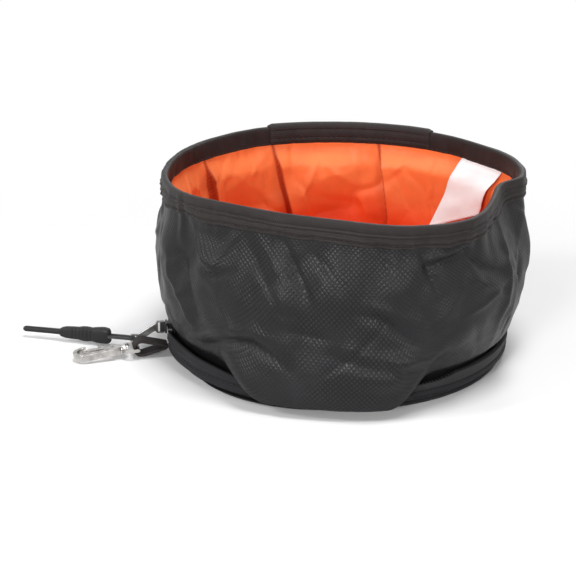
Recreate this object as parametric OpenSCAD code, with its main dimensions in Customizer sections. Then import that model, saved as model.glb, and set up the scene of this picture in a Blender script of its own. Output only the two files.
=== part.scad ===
// A collapsible travel bowl with a fabric wall, standing open.
// A stiff round base carries the wall; a stiff round lid on a fabric spine is
// folded flat under the base. With the wall pressed down, lid and base zip up.
// The origin is the centre of the underside, +Z is up and the front is -Y.
// Azimuths are in degrees, anticlockwise from +X seen from above.

/* [Base] */
// Radius of the base over its fabric cover
base_r = 92.8; // [80:0.1:120]
// Thickness of the fabric that covers base and lid
cover_t = 0.6; // [0.4:0.1:1]
// Thickness of the stiff board inside the base
base_board_t = 1.6; // [1:0.1:3]
// Thickness of the coated floor of the bowl
floor_t = 0.6; // [0.4:0.1:1]
// Height of the fabric band round the base
band_h = 3.7; // [3:0.1:6]

/* [Lid] */
// How far the edge of the lid stands in from that of the base
lid_in = 2.8; // [1:0.1:6]
// Thickness of the stiff board inside the lid
lid_board_t = 1.4; // [1:0.1:3]
// Distance of the fold line from the edge of the base
fold_out = 2.7; // [2:0.1:5]
// Azimuth of the middle of the fabric spine
spine_az = 245; // [240:1:250]
// Angle that the fabric spine takes up
spine_span = 98; // [86:1:98]

/* [Zip] */
// Thickness of the woven zip tape
tape_t = 0.9; // [0.6:0.1:1.2]
// Height of the tape above the base band
tape_h = 2.3; // [1.5:0.1:4]
// Width of the tape on the lid
lid_tape_w = 7.6; // [5:0.1:10]
// Size of a tooth across the tape
tooth_t = 2.2; // [1.8:0.1:3]
// Height of a tooth
tooth_h = 2; // [1.5:0.1:3]
// Length of a tooth along the tape
tooth_w = 2; // [1.2:0.1:2.4]
// Distance from one tooth to the next
tooth_pitch = 4; // [3:0.1:6]
// Angle from the end of the spine to the slider when the zip is open
slider_back = 8.5; // [8:0.1:9]

/* [Wall] */
// Thickness of the outer fabric
wall_t = 0.8; // [0.5:0.1:1.2]
// Thickness of the lining
lining_t = 0.6; // [0.4:0.1:1]
// How far in from the edge of the base the wall is sewn on
foot_in = 5.6; // [4.8:0.1:9]
// How far the widest part of the wall stands out over the edge of the base
belly_out = 6.6; // [2:0.1:8]
// How far the widest part leans to the right
belly_lean = 1.6; // [0:0.1:3]
// Height of the rim above the surface that the bowl stands on
rim_z = 100.8; // [80:0.1:120]
// How far the rim stands out over the edge of the base
rim_out = 2.6; // [0:0.1:5]
// How far the rim folds in beside the label
rim_kink = 6.5; // [0:0.1:9]
// How far the front of the rim sags
rim_sag = 5; // [0:0.1:8]
// How far the front of the wall bulges out where it has slipped down over the lip
slump_out = 5; // [3:0.1:6]
// How far the lining hangs in from the outer fabric between its seams
lining_slack = 4.3; // [0:0.1:5]

/* [Hem] */
// Height of the binding tape that hems the rim
hem_h = 11.2; // [8:0.1:14]
// Thickness of the binding tape
hem_t = 0.7; // [0.5:0.1:1]
// Thickness of the webbing sewn over the back of the hem
webbing_t = 1.3; // [0.8:0.1:2]
// Height of that webbing above the hem
webbing_rise = 1.2; // [0.8:0.1:3]

/* [Label] */
// Width of the care label
label_w = 27; // [15:0.5:35]
// Length of the care label
label_l = 42; // [20:0.5:50]
// Thickness of the care label
label_t = 0.3; // [0.2:0.05:0.5]

/* [Slider and pull] */
// Length of the zip slider along the zip
slider_l = 10; // [8:0.5:10]
// Height of the zip slider's plates
slider_h = 5.6; // [5.4:0.1:6]
// Thickness of the slider's plates
slider_t = 1.1; // [0.8:0.1:1.4]
// Length of the metal tab
tab_l = 17.5; // [12:0.5:22]
// Width of the metal tab
tab_w = 4.4; // [3.6:0.1:5]
// Thickness of the metal tab
tab_t = 1; // [0.8:0.1:1.1]
// Diameter of the cord of the pull
cord_d = 1.6; // [1.2:0.1:1.8]
// Length of the cord loop
cord_l = 12; // [9:0.5:18]
// Length of the moulded grip without its tail
grip_l = 29.5; // [20:0.5:36]
// Height of the grip at its wide end
grip_h = 9.2; // [6:0.1:9.4]
// Thickness of the grip
grip_t = 5; // [4.8:0.1:6]
// Length of the grip's tail
tail_l = 21.5; // [10:0.5:30]
// Diameter of the grip's tail
tail_d = 3.2; // [2.4:0.1:3.6]

/* [Hang loop and hook] */
// Angle from the end of the spine to the middle of the hang loop
strap_back = 2.5; // [2:0.1:3]
// Width of the hang loop's webbing
strap_w = 8; // [6:0.1:8.4]
// Thickness of the hang loop's webbing
strap_t = 1.5; // [1:0.1:1.6]
// Length of the hang loop
strap_l = 17.2; // [14:0.1:24]
// Height of the hang loop at its round end
strap_h = 9.2; // [8.8:0.1:10]
// Thickness of the hook's wire eye
eye_t = 1.8; // [1.4:0.1:2]
// Length of the eye, from its bar to its swivel boss
eye_l = 6.6; // [6:0.1:9]
// Radius of the swivel post
post_r = 1.1; // [0.9:0.05:1.3]
// Length of the hook from its neck to its tip
hook_l = 25; // [22:0.5:36]
// Width of the hook
hook_w = 12; // [11:0.1:13]
// Thickness of the hook
hook_t = 3.6; // [3:0.1:4]
// Radius of the pin that the gate turns on
pin_r = 0.7; // [0.5:0.05:0.9]

/* [Hidden] */

$fn = 48;
// gap between the soft pieces of two bodies
soft_gap = 0.3;
// clearance all round a turning pin or post
run_gap = 0.06;
// gap between metal pieces that only pass each other
pass_gap = 0.35;
// overrun of every cut
cut = 1;
// steps round the wall and the rim
wall_steps = 60;
// steps in a rounded edge
edge_steps = 4;

// heights, from the surface up
lid_top = lid_board_t + 2 * cover_t;
lid_tape_top = lid_top + tape_t;
lid_teeth_top = lid_top + tooth_h;
base_z = lid_teeth_top + soft_gap - cover_t / 6;
board_z = base_z + cover_t;
floor_z = board_z + base_board_t;
floor_top = floor_z + floor_t;
band_top = base_z + band_h;
tape_top = band_top + tape_h;
teeth_top = tape_top + tooth_h;

// radii that follow the edge of the base
lid_r = base_r - lid_in;
fold_r = base_r + fold_out;
foot_r = base_r - foot_in;
belly_r = base_r + belly_out;
rim_r = base_r + rim_out;
tape_r = base_r - cover_t - tape_t / 2;
board_r = base_r - cover_t;
floor_r = foot_r - wall_t - lining_t - soft_gap / 2;

// the slider and the hang loop keep their places beside the near end of the spine
spine_from_az = spine_az - spine_span / 2;
slider_az = spine_from_az - slider_back;
strap_az = spine_from_az - strap_back;

// the zip runs on from the far end of the spine to the slider's resting place
zip_stop_w = 1.6;
slider_half_az = asin(slider_l / 2 / tape_r);
zip_stop_az = asin(zip_stop_w / 2 / tape_r);
zip_open_az = slider_az + slider_half_az + 2 * zip_stop_az;
zip_from_az = spine_az + spine_span / 2;
zip_run = 360 + zip_open_az - zip_from_az;

// a bump of height one and half width w round azimuth c
function bump(a, c, w) =
    let (d = abs((a - c + 540) % 360 - 180)) d < w ? (1 + cos(180 * d / w)) / 2 : 0;

// how the rim differs from a level circle, by azimuth
kink_az = 336;
kink_half = 17;
sag_az = 299;
sag_half = 42;
rise_az = 238;
rise_half = 34;
rise_share = 0.4;
flare_az = 308;
flare_half = 22;
flare_share = 0.4;
function rim_in(a) =
    rim_kink * (flare_share * bump(a, flare_az, flare_half) - bump(a, kink_az, kink_half));
function rim_top(a) =
    rim_z + rim_sag * (rise_share * bump(a, rise_az, rise_half) - bump(a, sag_az, sag_half));

// the share of the wall's height at which the hem begins
hem_share = 1 - (hem_h - hem_t - soft_gap) / (rim_z - hem_t - soft_gap - floor_z);

// outer profile of the wall: shares of its height, and of the way from foot to belly
profile_shares = [
    [0, 0], [0.08, 0.1], [0.13, 0.42], [0.2, 0.66], [0.3, 0.84], [0.42, 0.95], [0.54, 1],
    [0.68, 0.98], [0.8, 0.86], [hem_share, 0.68], [1, 0.5]
];
// at the rim the profile gives way to the rim's own line
rim_share = 0.5;

// folds in the wall: azimuth, half width, height share, half height share, depth
fold_depth = 3;
fold_shares = [
    [336, 20, 0.8, 0.5, -0.9], [318, 22, 0.45, 0.35, 0.4], [262, 22, 0.62, 0.26, 0.4],
    [236, 13, 0.3, 0.26, -0.5], [222, 15, 0.55, 0.3, 0.3], [292, 16, 0.3, 0.22, -0.45],
    [250, 18, 0.62, 0.25, -0.3], [200, 12, 0.45, 0.3, -0.35], [20, 16, 0.5, 0.4, -0.5],
    [74, 12, 0.55, 0.42, -0.45], [112, 13, 0.5, 0.42, -0.5], [146, 12, 0.55, 0.42, -0.45],
    [95, 12, 0.4, 0.3, 0.3], [40, 14, 0.35, 0.3, 0.3]
];
function height_bump(s, c, w) = abs(s - c) < w ? (1 + cos(180 * (s - c) / w)) / 2 : 0;
function folds(a, s, i = 0) =
    i == len(fold_shares) ? 0
    : folds(a, s, i + 1) + fold_depth * fold_shares[i][4]
        * bump(a, fold_shares[i][0], fold_shares[i][1])
        * height_bump(s, fold_shares[i][2], fold_shares[i][3]);

function ease(t) = t * t * (3 - 2 * t);
function ramp(from, to, a) = ease(min(1, max(0, (a - from) / (to - from))));

// the wall's outer radius without its folds, at azimuth a and height share s
function plain_r(a, s) =
    let (
        swell = lookup(s, profile_shares),
        body = foot_r + (belly_r - foot_r) * swell + belly_lean * cos(a) * min(1, 2 * swell),
        rim = rim_r - hem_t - soft_gap + rim_in(a),
        blend = ramp(rim_share, 1, s)
    )
    body * (1 - blend) + rim * blend;
function wall_r(a, s) = plain_r(a, s) + folds(a, s);

// the wall's edge stops inside the fold of the hem
function wall_h(a) = rim_top(a) - hem_t - soft_gap - floor_z;
function wall_z(a, s) = floor_z + s * wall_h(a);

// between these azimuths the front of the wall has slipped down over the lip
slump_from = 238;
slump_full_from = 251;
slump_full_to = 278;
slump_to = 290;
function slump(a) =
    ramp(slump_from, slump_full_from, a) * (1 - ramp(slump_full_to, slump_to, a));
// how far out and how far down it has slipped, by height share; the way down is given
// in shares of the wall's height
slump_out_shares = [
    [0, 0], [0.08, 0.3], [0.13, 1], [0.2, 0.95], [0.3, 0.83], [0.42, 0.52], [0.54, 0.3],
    [0.68, 0.26], [0.8, 0.18], [hem_share, 0], [1, 0]
];
slump_down_shares = [
    [0, 0], [0.08, -0.009], [0.13, 0.076], [0.2, 0.202], [0.3, 0.224], [0.42, 0.184],
    [0.54, 0.119], [0.68, 0.065], [0.8, 0.022], [hem_share, 0], [1, 0]
];
function slumped(a, s) = [
    wall_r(a, s) + slump(a) * slump_out * lookup(s, slump_out_shares),
    wall_z(a, s - slump(a) * lookup(s, slump_down_shares))
];

// the lining is sewn down along these azimuths and hangs in between them
lining_seams = [4, 30, 74, 112, 147, 178, 208, 238, 268, 298, 326];
lining_seam_half = 13;
seam_slack_share = 0.45;
lining_slack_shares = [
    [0, 0], [0.08, 0.3], [0.13, 0.65], [0.2, 0.97], [0.3, 1], [0.68, 1], [0.8, 0.45],
    [hem_share, 0], [1, 0]
];
function seam_gap(a) =
    min([for (c = lining_seams) abs((a - c + 540) % 360 - 180)]) / lining_seam_half;
function lining_hang(a) =
    seam_slack_share + (1 - seam_slack_share) * sin(90 * min(1, seam_gap(a)));
function lining_r(a, s) =
    plain_r(a, s) + min(0, folds(a, s)) - wall_t
        - lining_slack * lining_hang(a) * lookup(s, lining_slack_shares);

function ring_point(r, a, z) = [r * cos(a), r * sin(a), z];

// a closed ring of rows * wall_steps points, each row joined to the next and the last
// to the first; rows that run down again are split along the same diagonals
module ring_solid(points, rows) {
    polyhedron(
        points,
        [
            for (j = [0 : rows - 1], i = [0 : wall_steps - 1])
                let (
                    a = j * wall_steps + i,
                    b = j * wall_steps + (i + 1) % wall_steps,
                    c = ((j + 1) % rows) * wall_steps + (i + 1) % wall_steps,
                    d = ((j + 1) % rows) * wall_steps + i
                )
                each j < rows / 2 ? [[a, c, b], [a, d, c]] : [[a, d, b], [b, d, c]]
        ]
    );
}

wall_shares = [for (row = profile_shares) row[0]];
last_share = len(wall_shares) - 1;

// the inner face of the outer fabric: straight in from the outer face, or square to it
// where the front has slipped down
function inner_point(a, j) =
    let (
        here = slumped(a, wall_shares[j]),
        along = slumped(a, wall_shares[min(j + 1, last_share)])
            - slumped(a, wall_shares[max(j - 1, 0)]),
        square = [-along[1], along[0]] / norm(along),
        mix = ease(slump(a)),
        way = [-1, 0] * (1 - mix) + square * mix
    )
    here + wall_t * way / norm(way);

// a ring of rectangular section, or a part of one
module band(r_in, r_out, z_low, z_high, from_az = 0, span = 360) {
    rotate([0, 0, from_az])
        rotate_extrude(angle = span, $fn = 96)
            translate([r_in, z_low]) square([r_out - r_in, z_high - z_low]);
}

// a disc with a rounded lower edge, from its half section
module soft_disc(r, z_low, z_high, edge) {
    rotate_extrude($fn = 96)
        polygon(concat(
            [[0, z_low]],
            [
                for (k = [0 : edge_steps])
                    let (a = -90 + 90 * k / edge_steps)
                    [r - edge + edge * cos(a), z_low + edge + edge * sin(a)]
            ],
            [[r, z_high], [0, z_high]]
        ));
}

module base_board() {
    color("tan")
        translate([0, 0, board_z]) cylinder(r = board_r, h = base_board_t, $fn = 96);
}

module base_cover() {
    color("dimgray") difference() {
        soft_disc(base_r, base_z, band_top, band_h / 3);
        translate([0, 0, board_z])
            cylinder(r = board_r, h = band_h + cut, $fn = 96);
    }
}

module base_floor() {
    color("orangered")
        translate([0, 0, floor_z]) cylinder(r = floor_r, h = floor_t, $fn = 96);
}

// the fabric spine: a strip up the side of the base, with a lip as high as the zip
// and a short fold that reaches out towards the lid
module spine_tape() {
    lip_r = tape_r + tape_t / 2;
    skirt_r = base_r + cover_t;
    lip_z = band_top + cover_t;
    color("dimgray") union() {
        band(tape_r - tape_t, lip_r, floor_z, teeth_top, spine_from_az, spine_span);
        band(tape_r, skirt_r, band_top, lip_z, spine_from_az, spine_span);
        band(base_r, skirt_r, board_z, lip_z, spine_from_az, spine_span);
    }
}

module zip_tape() {
    color("dimgray")
        band(
            tape_r - tape_t / 2, tape_r + tape_t / 2, floor_z, tape_top,
            zip_from_az, 360 - spine_span
        );
}

// one tooth at radius r, standing on z
module tooth(r, z, across, up) {
    translate([r - across / 2, -tooth_w / 2, z]) cube([across, tooth_w, up]);
}

module zip_teeth() {
    step = asin(tooth_pitch / tape_r);
    first = zip_from_az + 2 * zip_stop_az + step / 2;
    count = floor((zip_run - 4 * zip_stop_az - step / 2) / step);
    color("black")
        for (k = [0 : count - 1])
            rotate([0, 0, first + k * step]) tooth(tape_r, tape_top, tooth_t, tooth_h);
}

// a metal stop clamped on the end of the row of teeth
module zip_stop(az) {
    color("silver")
        rotate([0, 0, az])
            translate([tape_r - tooth_t / 2, -zip_stop_w / 2, tape_top])
                cube([tooth_t, zip_stop_w, tooth_h]);
}

module zip_stop_open() {
    zip_stop(zip_open_az - zip_stop_az);
}

module zip_stop_closed() {
    zip_stop(zip_from_az + zip_stop_az);
}

module wall_outer() {
    color("dimgray")
        ring_solid(
            [
                for (j = [0 : 2 * last_share + 1], i = [0 : wall_steps - 1])
                    let (
                        a = 360 * i / wall_steps,
                        p = j <= last_share ? slumped(a, wall_shares[j])
                            : inner_point(a, 2 * last_share + 1 - j)
                    )
                    ring_point(p[0], a, p[1])
            ],
            2 * last_share + 2
        );
}

module wall_lining() {
    rows = concat(
        [for (s = wall_shares) [s, 0]],
        [for (j = [last_share : -1 : 0]) [wall_shares[j], lining_t]]
    );
    color("orangered")
        ring_solid(
            [
                for (row = rows, i = [0 : wall_steps - 1])
                    let (a = 360 * i / wall_steps)
                    ring_point(lining_r(a, row[0]) - row[1], a, wall_z(a, row[0]))
            ],
            len(rows)
        );
}

// the label hangs on the lining from just under the hem; its rows and columns lie over
// those of the lining
label_az = 31;
module care_label() {
    half = asin(label_w / 2 / rim_r);
    full_h = wall_h(label_az);
    top_share = hem_share - 2 * soft_gap / full_h;
    low_share = top_share - label_l / full_h;
    step = 360 / wall_steps;
    depth = lining_t + soft_gap;
    shares = concat(
        [low_share],
        [for (row = profile_shares) if (row[0] > low_share && row[0] < top_share) row[0]],
        [top_share]
    );
    angles = concat(
        [label_az - half],
        [
            for (i = [ceil((label_az - half) / step) : floor((label_az + half) / step)])
                i * step
        ],
        [label_az + half]
    );
    label_steps = len(angles) - 1;
    label_rows = len(shares) - 1;
    n = label_steps + 1;
    rows = label_rows + 1;
    sheet = rows * n;
    points = [
        for (d = [depth, depth + label_t], s = shares, a = angles)
            ring_point(lining_r(a, s) - d, a, wall_z(a, s))
    ];
    color("white") polyhedron(
        points,
        concat(
            [
                for (j = [0 : label_rows - 1], i = [0 : label_steps - 1])
                    let (a = j * n + i)
                    each [
                        [a, a + n, a + n + 1], [a, a + n + 1, a + 1],
                        [sheet + a, sheet + a + n + 1, sheet + a + n],
                        [sheet + a, sheet + a + 1, sheet + a + n + 1]
                    ]
            ],
            [
                for (i = [0 : label_steps - 1])
                    let (a = i, b = label_rows * n + i)
                    each [
                        [a, a + 1, sheet + a], [a + 1, sheet + a + 1, sheet + a],
                        [b, sheet + b, b + 1], [b + 1, sheet + b, sheet + b + 1]
                    ]
            ],
            [
                for (j = [0 : label_rows - 1])
                    let (a = j * n, b = j * n + label_steps)
                    each [
                        [a, sheet + a, a + n], [a + n, sheet + a, sheet + a + n],
                        [b, b + n, sheet + b], [b + n, sheet + b + n, sheet + b]
                    ]
            ]
        )
    );
}

module lid_board() {
    color("tan")
        translate([0, 0, cover_t])
            cylinder(r = lid_r - 2 * cover_t, h = lid_board_t, $fn = 96);
}

module lid_cover() {
    color("dimgray") difference() {
        soft_disc(lid_r, 0, lid_top, lid_top / 3);
        lid_board();
    }
}

// the end of the spine that is sewn to the lid
module lid_spine_flap() {
    flap_half = spine_span / 4;
    reach = (fold_r - lid_r) / 2;
    color("dimgray")
        band(
            lid_r, lid_r + reach, lid_top / 2 - cover_t / 2, lid_top / 2 + cover_t / 2,
            spine_az - flap_half, 2 * flap_half
        );
}

lid_teeth_r = lid_r - cover_t - lid_tape_w - tooth_h / 2;
module lid_zip_tape() {
    color("dimgray")
        band(
            lid_r - cover_t - lid_tape_w, lid_r - cover_t, lid_top, lid_tape_top,
            zip_from_az, zip_run
        );
}

module lid_zip_teeth() {
    step = asin(tooth_pitch / lid_teeth_r);
    count = floor(zip_run / step);
    color("black")
        for (k = [0 : count - 1])
            rotate([0, 0, zip_from_az + (k + 1 / 2) * step])
                tooth(lid_teeth_r, lid_top, tooth_h, tooth_h * (1 - 1 / 8));
}

// the hem: binding tape folded over the wall's edge. Points of its section are given
// inwards from its outer face and upwards from the rim
hem_gap = wall_t + lining_t + 2 * soft_gap;
hem_w = 2 * hem_t + hem_gap;
function hem_section() = [
    [0, -hem_h], [0, -hem_t], [hem_t, 0], [hem_t + hem_gap, 0], [hem_w, -hem_t],
    [hem_w, -hem_h], [hem_t + hem_gap, -hem_h], [hem_t + hem_gap, -hem_t],
    [hem_t, -hem_t], [hem_t, -hem_h]
];
function hem_point(row, a) =
    let (
        z = rim_top(a) + row[1],
        s = min(1, (z - floor_z) / wall_h(a))
    )
    ring_point(wall_r(a, s) + hem_t + soft_gap - row[0], a, z);

module rim_hem() {
    section = hem_section();
    color("black")
        ring_solid(
            [
                for (row = section, i = [0 : wall_steps - 1])
                    hem_point(row, 360 * i / wall_steps)
            ],
            len(section)
        );
}

// a length of webbing sewn over the hem at the back
webbing_from_az = 56;
webbing_to_az = 117;
webbing_h = hem_h * 0.85;
webbing_gap = soft_gap / 2;
// an arch over the hem, spread by out, with its top corners cut
function webbing_arch(out, top, edge) = [
    [-out, -webbing_h], [-out, top - edge], [edge - out, top], [hem_w + out - edge, top],
    [hem_w + out, top - edge], [hem_w + out, -webbing_h]
];

module rim_webbing() {
    outside = webbing_arch(
        webbing_gap + webbing_t, webbing_gap + webbing_rise, webbing_t / 2
    );
    inside = webbing_arch(webbing_gap, webbing_gap, hem_t);
    half = len(outside);
    rows = 2 * half;
    section = concat(outside, [for (k = [half - 1 : -1 : 0]) inside[k]]);
    step = 360 / wall_steps;
    first = ceil(webbing_from_az / step);
    last = floor(webbing_to_az / step);
    angles = concat(
        [webbing_from_az], [for (i = [first : last]) i * step], [webbing_to_az]
    );
    n = len(angles);
    color("black") polyhedron(
        [for (a = angles, row = section) hem_point(row, a)],
        concat(
            [
                for (k = [0 : half - 2])
                    let (a = k, b = k + 1, c = rows - 2 - k, d = rows - 1 - k, end = (n - 1) * rows)
                    each [[a, d, b], [b, d, c], [end + a, end + b, end + d], [end + b, end + c, end + d]]
            ],
            [
                for (i = [0 : n - 2], j = [0 : rows - 1])
                    let (
                        a = i * rows + j,
                        b = i * rows + (j + 1) % rows,
                        c = (i + 1) * rows + (j + 1) % rows,
                        d = (i + 1) * rows + j
                    )
                    each [[a, c, d], [a, b, c]]
            ]
        )
    );
}

// places its children at a radius and height, with X pointing outwards
module at_azimuth(az, r, z) {
    rotate([0, 0, az]) translate([r, 0, z]) children();
}

// the slider straddles the row of teeth; its bridge holds the tab
slider_gap = tooth_t / 2 + pass_gap + soft_gap / 2;
slider_low = band_top + cover_t;
slider_top = slider_low + slider_h;
bridge_out = 1.8;
bridge_t = 0.9;
bridge_w = 2.2;
bridge_l_share = 0.7;
bridge_z = (slider_low + slider_top) / 2;
tab_r = tape_r + slider_gap + slider_t + bridge_out / 2;
module slider_plate() {
    waist = slider_l * 0.3;
    translate([0, 0, slider_low])
        rotate([90, 0, 90])
            linear_extrude(slider_t)
                polygon([
                    [-slider_l / 2, slider_h / 6], [-slider_l / 2, slider_h * 5 / 6],
                    [-slider_l / 3, slider_h], [slider_l / 3, slider_h],
                    [slider_l / 2, slider_h * 5 / 6], [slider_l / 2, slider_h / 6],
                    [waist, 0], [-waist, 0]
                ]);
}

module zip_slider() {
    neck_z = teeth_top + pass_gap;
    color("black") at_azimuth(slider_az, tape_r, 0) union() {
        translate([slider_gap, 0, 0]) slider_plate();
        translate([-slider_gap - slider_t, 0, 0]) slider_plate();
        translate([-slider_gap - slider_t / 2, -slider_l / 5, neck_z])
            cube([2 * slider_gap + slider_t, slider_l * 2 / 5, slider_top - neck_z]);
        translate([slider_gap + slider_t / 2, -bridge_w, bridge_z - bridge_w])
            difference() {
                cube([slider_t / 2 + bridge_out + bridge_t, 2 * bridge_w, 2 * bridge_w]);
                translate([slider_t / 2, bridge_t, -cut])
                    cube([bridge_out, 2 * (bridge_w - bridge_t), 2 * (bridge_w + cut)]);
            }
    }
}

// the metal tab stands on edge and hangs from the bridge; its end bar carries the cord
tab_drop = 6;
eyelet_h = bridge_w + pass_gap;
eyelet_l = 3.4;
bar_w = 1;
cord_bend_r = 1.6;
module pull_tab() {
    half = tab_w / 2;
    hole_from = tab_l - cord_bend_r - cord_d / 2 - pass_gap;
    hole_to = tab_l - bar_w / 2;
    hole_half = cord_d / 2 + pass_gap;
    slope_to = hole_from - tab_t;
    color("silver")
        at_azimuth(slider_az, tab_r, bridge_z)
            rotate([90, 0, 0])
                linear_extrude(tab_t, center = true)
                    difference() {
                        polygon([
                            [-tab_t / 2, eyelet_h + tab_t], [eyelet_l, eyelet_h + tab_t],
                            [eyelet_l + tab_t, half], [slope_to, half - tab_drop],
                            [tab_l, half - tab_drop],
                            [tab_l + bar_w / 2, half - tab_drop - bar_w / 2],
                            [tab_l + bar_w / 2, -half - tab_drop + bar_w / 2],
                            [tab_l, -half - tab_drop], [slope_to, -half - tab_drop],
                            [eyelet_l + tab_t, -half], [eyelet_l, -eyelet_h - tab_t],
                            [-tab_t / 2, -eyelet_h - tab_t]
                        ]);
                        translate([tab_t / 2, -eyelet_h])
                            square([eyelet_l - tab_t, 2 * eyelet_h]);
                        translate([hole_from, -tab_drop - hole_half])
                            square([hole_to - hole_from, 2 * hole_half]);
                    }
}

// the pull lies across the tab's end at its own angle
pull_yaw = 20;
pull_pitch = 1;
module in_pull() {
    at_azimuth(slider_az, tab_r + tab_l, bridge_z - tab_drop)
        rotate([0, pull_pitch, -pull_yaw])
            children();
}

module pull_cord() {
    color("black") in_pull() {
        rotate([0, 0, 90])
            rotate_extrude(angle = 180, $fn = 32)
                translate([cord_bend_r, 0]) circle(d = cord_d, $fn = 24);
        for (side = [-1, 1])
            translate([0, side * cord_bend_r, 0])
                rotate([0, 90, 0]) cylinder(d = cord_d, h = cord_l, $fn = 24);
    }
}

// half outline of the grip: shares of its length and of its height, from the cord end
grip_shares = [
    [0, 0.4], [0.03, 0.48], [0.16, 0.5], [0.27, 0.46], [0.36, 0.41], [0.46, 0.45],
    [0.54, 0.44], [0.62, 0.38], [0.76, 0.37], [0.88, 0.34], [0.96, 0.27], [1, 0.19]
];
grip_rib = 1.1;
grip_rib_depth = 0.45;
grip_rib_from_share = 0.34;
grip_rib_count = 6;
grip_taper_share = 0.16;
module pull_grip() {
    n = len(grip_shares);
    color("black") in_pull() translate([cord_l, 0, 0]) difference() {
        union() {
            intersection() {
                rotate([90, 0, 0])
                    linear_extrude(grip_t, center = true)
                        polygon(concat(
                            [for (row = grip_shares) [row[0] * grip_l, row[1] * grip_h]],
                            [
                                for (k = [n - 1 : -1 : 0])
                                    [grip_shares[k][0] * grip_l, -grip_shares[k][1] * grip_h]
                            ]
                        ));
                linear_extrude(grip_h, center = true)
                    polygon([
                        [0, -grip_t / 2 + grip_rib_depth], [grip_rib_depth, -grip_t / 2],
                        [grip_l, -grip_t * (1 - grip_taper_share) / 2],
                        [grip_l, grip_t * (1 - grip_taper_share) / 2],
                        [grip_rib_depth, grip_t / 2], [0, grip_t / 2 - grip_rib_depth]
                    ]);
            }
            translate([grip_l, 0, 0])
                rotate([0, 90, 0])
                    rotate_extrude($fn = 24)
                        polygon([
                            [0, -tail_d / 2], [tail_d / 2, -tail_d / 2],
                            [tail_d / 2, tail_l - tail_d / 4], [tail_d / 4, tail_l], [0, tail_l]
                        ]);
        }
        for (k = [0 : grip_rib_count - 1], side = [-1, 1])
            translate([
                grip_l * grip_rib_from_share + 2 * k * grip_rib,
                side * grip_t / 2 - grip_rib_depth,
                -grip_h / 4
            ])
                cube([grip_rib, 2 * grip_rib_depth, grip_h / 2]);
    }
}

// points of an arc
function arc(cx, cy, r, from, to, steps = 12) = [
    for (k = [0 : steps])
        let (a = from + (to - from) * k / steps) [cx + r * cos(a), cy + r * sin(a)]
];

// the hang loop: webbing folded round on itself, its two ends sewn together at the base
strap_root_r = base_r + cover_t + soft_gap + strap_t;
strap_z = (lid_top + band_top) / 2;
strap_bend = strap_h / 2;
strap_centre = strap_l - strap_bend;
strap_slope = asin((strap_bend - strap_t) / strap_centre);
sewn_l = 3.6;
module hang_loop() {
    inner_bend = strap_bend - strap_t;
    color("black")
        at_azimuth(strap_az, strap_root_r, strap_z)
            rotate([90, 0, 0])
                linear_extrude(strap_w, center = true)
                    difference() {
                        polygon(concat(
                            arc(strap_centre, 0, strap_bend, -90 - strap_slope, 90 + strap_slope, 24),
                            arc(0, 0, strap_t, 90 + strap_slope, 270 - strap_slope)
                        ));
                        polygon(concat(
                            arc(strap_centre, 0, inner_bend, -90 - strap_slope, 90 + strap_slope, 24),
                            [
                                [sewn_l, sewn_l * tan(strap_slope)],
                                [sewn_l, -sewn_l * tan(strap_slope)]
                            ]
                        ));
                    }
}

// the hook hangs from the round end of the loop and droops a little
hook_pitch = 5;
eye_x = strap_centre + strap_bend - strap_t - eye_t / 2 - soft_gap;
boss_l = 2.2;
boss_r = 2.3;
head_r = 1.9;
head_t = 1;
module in_hook() {
    at_azimuth(strap_az, strap_root_r + eye_x, strap_z)
        rotate([0, hook_pitch, 0])
            children();
}

module swivel_eye() {
    inner = strap_w / 2 + soft_gap + run_gap;
    outer = inner + eye_t;
    front = inner * 3 / 4;
    straight = strap_bend;
    color("silver") in_hook() difference() {
        union() {
            rotate([90, 0, 0]) cylinder(d = eye_t, h = 2 * outer, center = true, $fn = 24);
            linear_extrude(eye_t, center = true)
                difference() {
                    polygon([
                        [0, -outer], [straight, -outer], [eye_l, -front - eye_t],
                        [eye_l + eye_t, -front], [eye_l + eye_t, front],
                        [eye_l, front + eye_t], [straight, outer], [0, outer]
                    ]);
                    polygon([
                        [-cut, -inner], [straight, -inner], [eye_l, -front], [eye_l, front],
                        [straight, inner], [-cut, inner]
                    ]);
                }
            translate([eye_l, 0, 0]) rotate([0, 90, 0]) cylinder(r = boss_r, h = boss_l);
        }
        translate([eye_l - cut, 0, 0])
            rotate([0, 90, 0]) cylinder(r = post_r + run_gap, h = boss_l + 2 * cut);
    }
}

// the hook: a shank that forks round the gate's pivot, and an arm bent round to a nose
hook_from = eye_l + boss_l + pass_gap;
hook_bend = hook_w / 2;
hook_arm = 2.1;
pivot_x = 4.2;
pivot_y = -0.9;
lobe_r = 3.4;
nose_az = -100;
gate_t = hook_t / 2;
gate_lobe_r = 2.2;
module hook_outline() {
    tip_x = hook_l - hook_bend;
    inner = hook_bend - hook_arm;
    polygon(concat(
        [
            [0, -hook_arm], [lobe_r - hook_arm / 2, -lobe_r],
            [pivot_x + gate_lobe_r, -lobe_r], [pivot_x + lobe_r, pivot_y]
        ],
        [[pivot_x + lobe_r + hook_arm / 2, lobe_r - hook_arm]],
        arc(tip_x, 0, inner, 95, nose_az, 20),
        arc(tip_x, 0, hook_bend, nose_az, 95, 24),
        [[lobe_r, lobe_r + hook_arm / 4], [0, hook_arm]]
    ));
}

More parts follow.
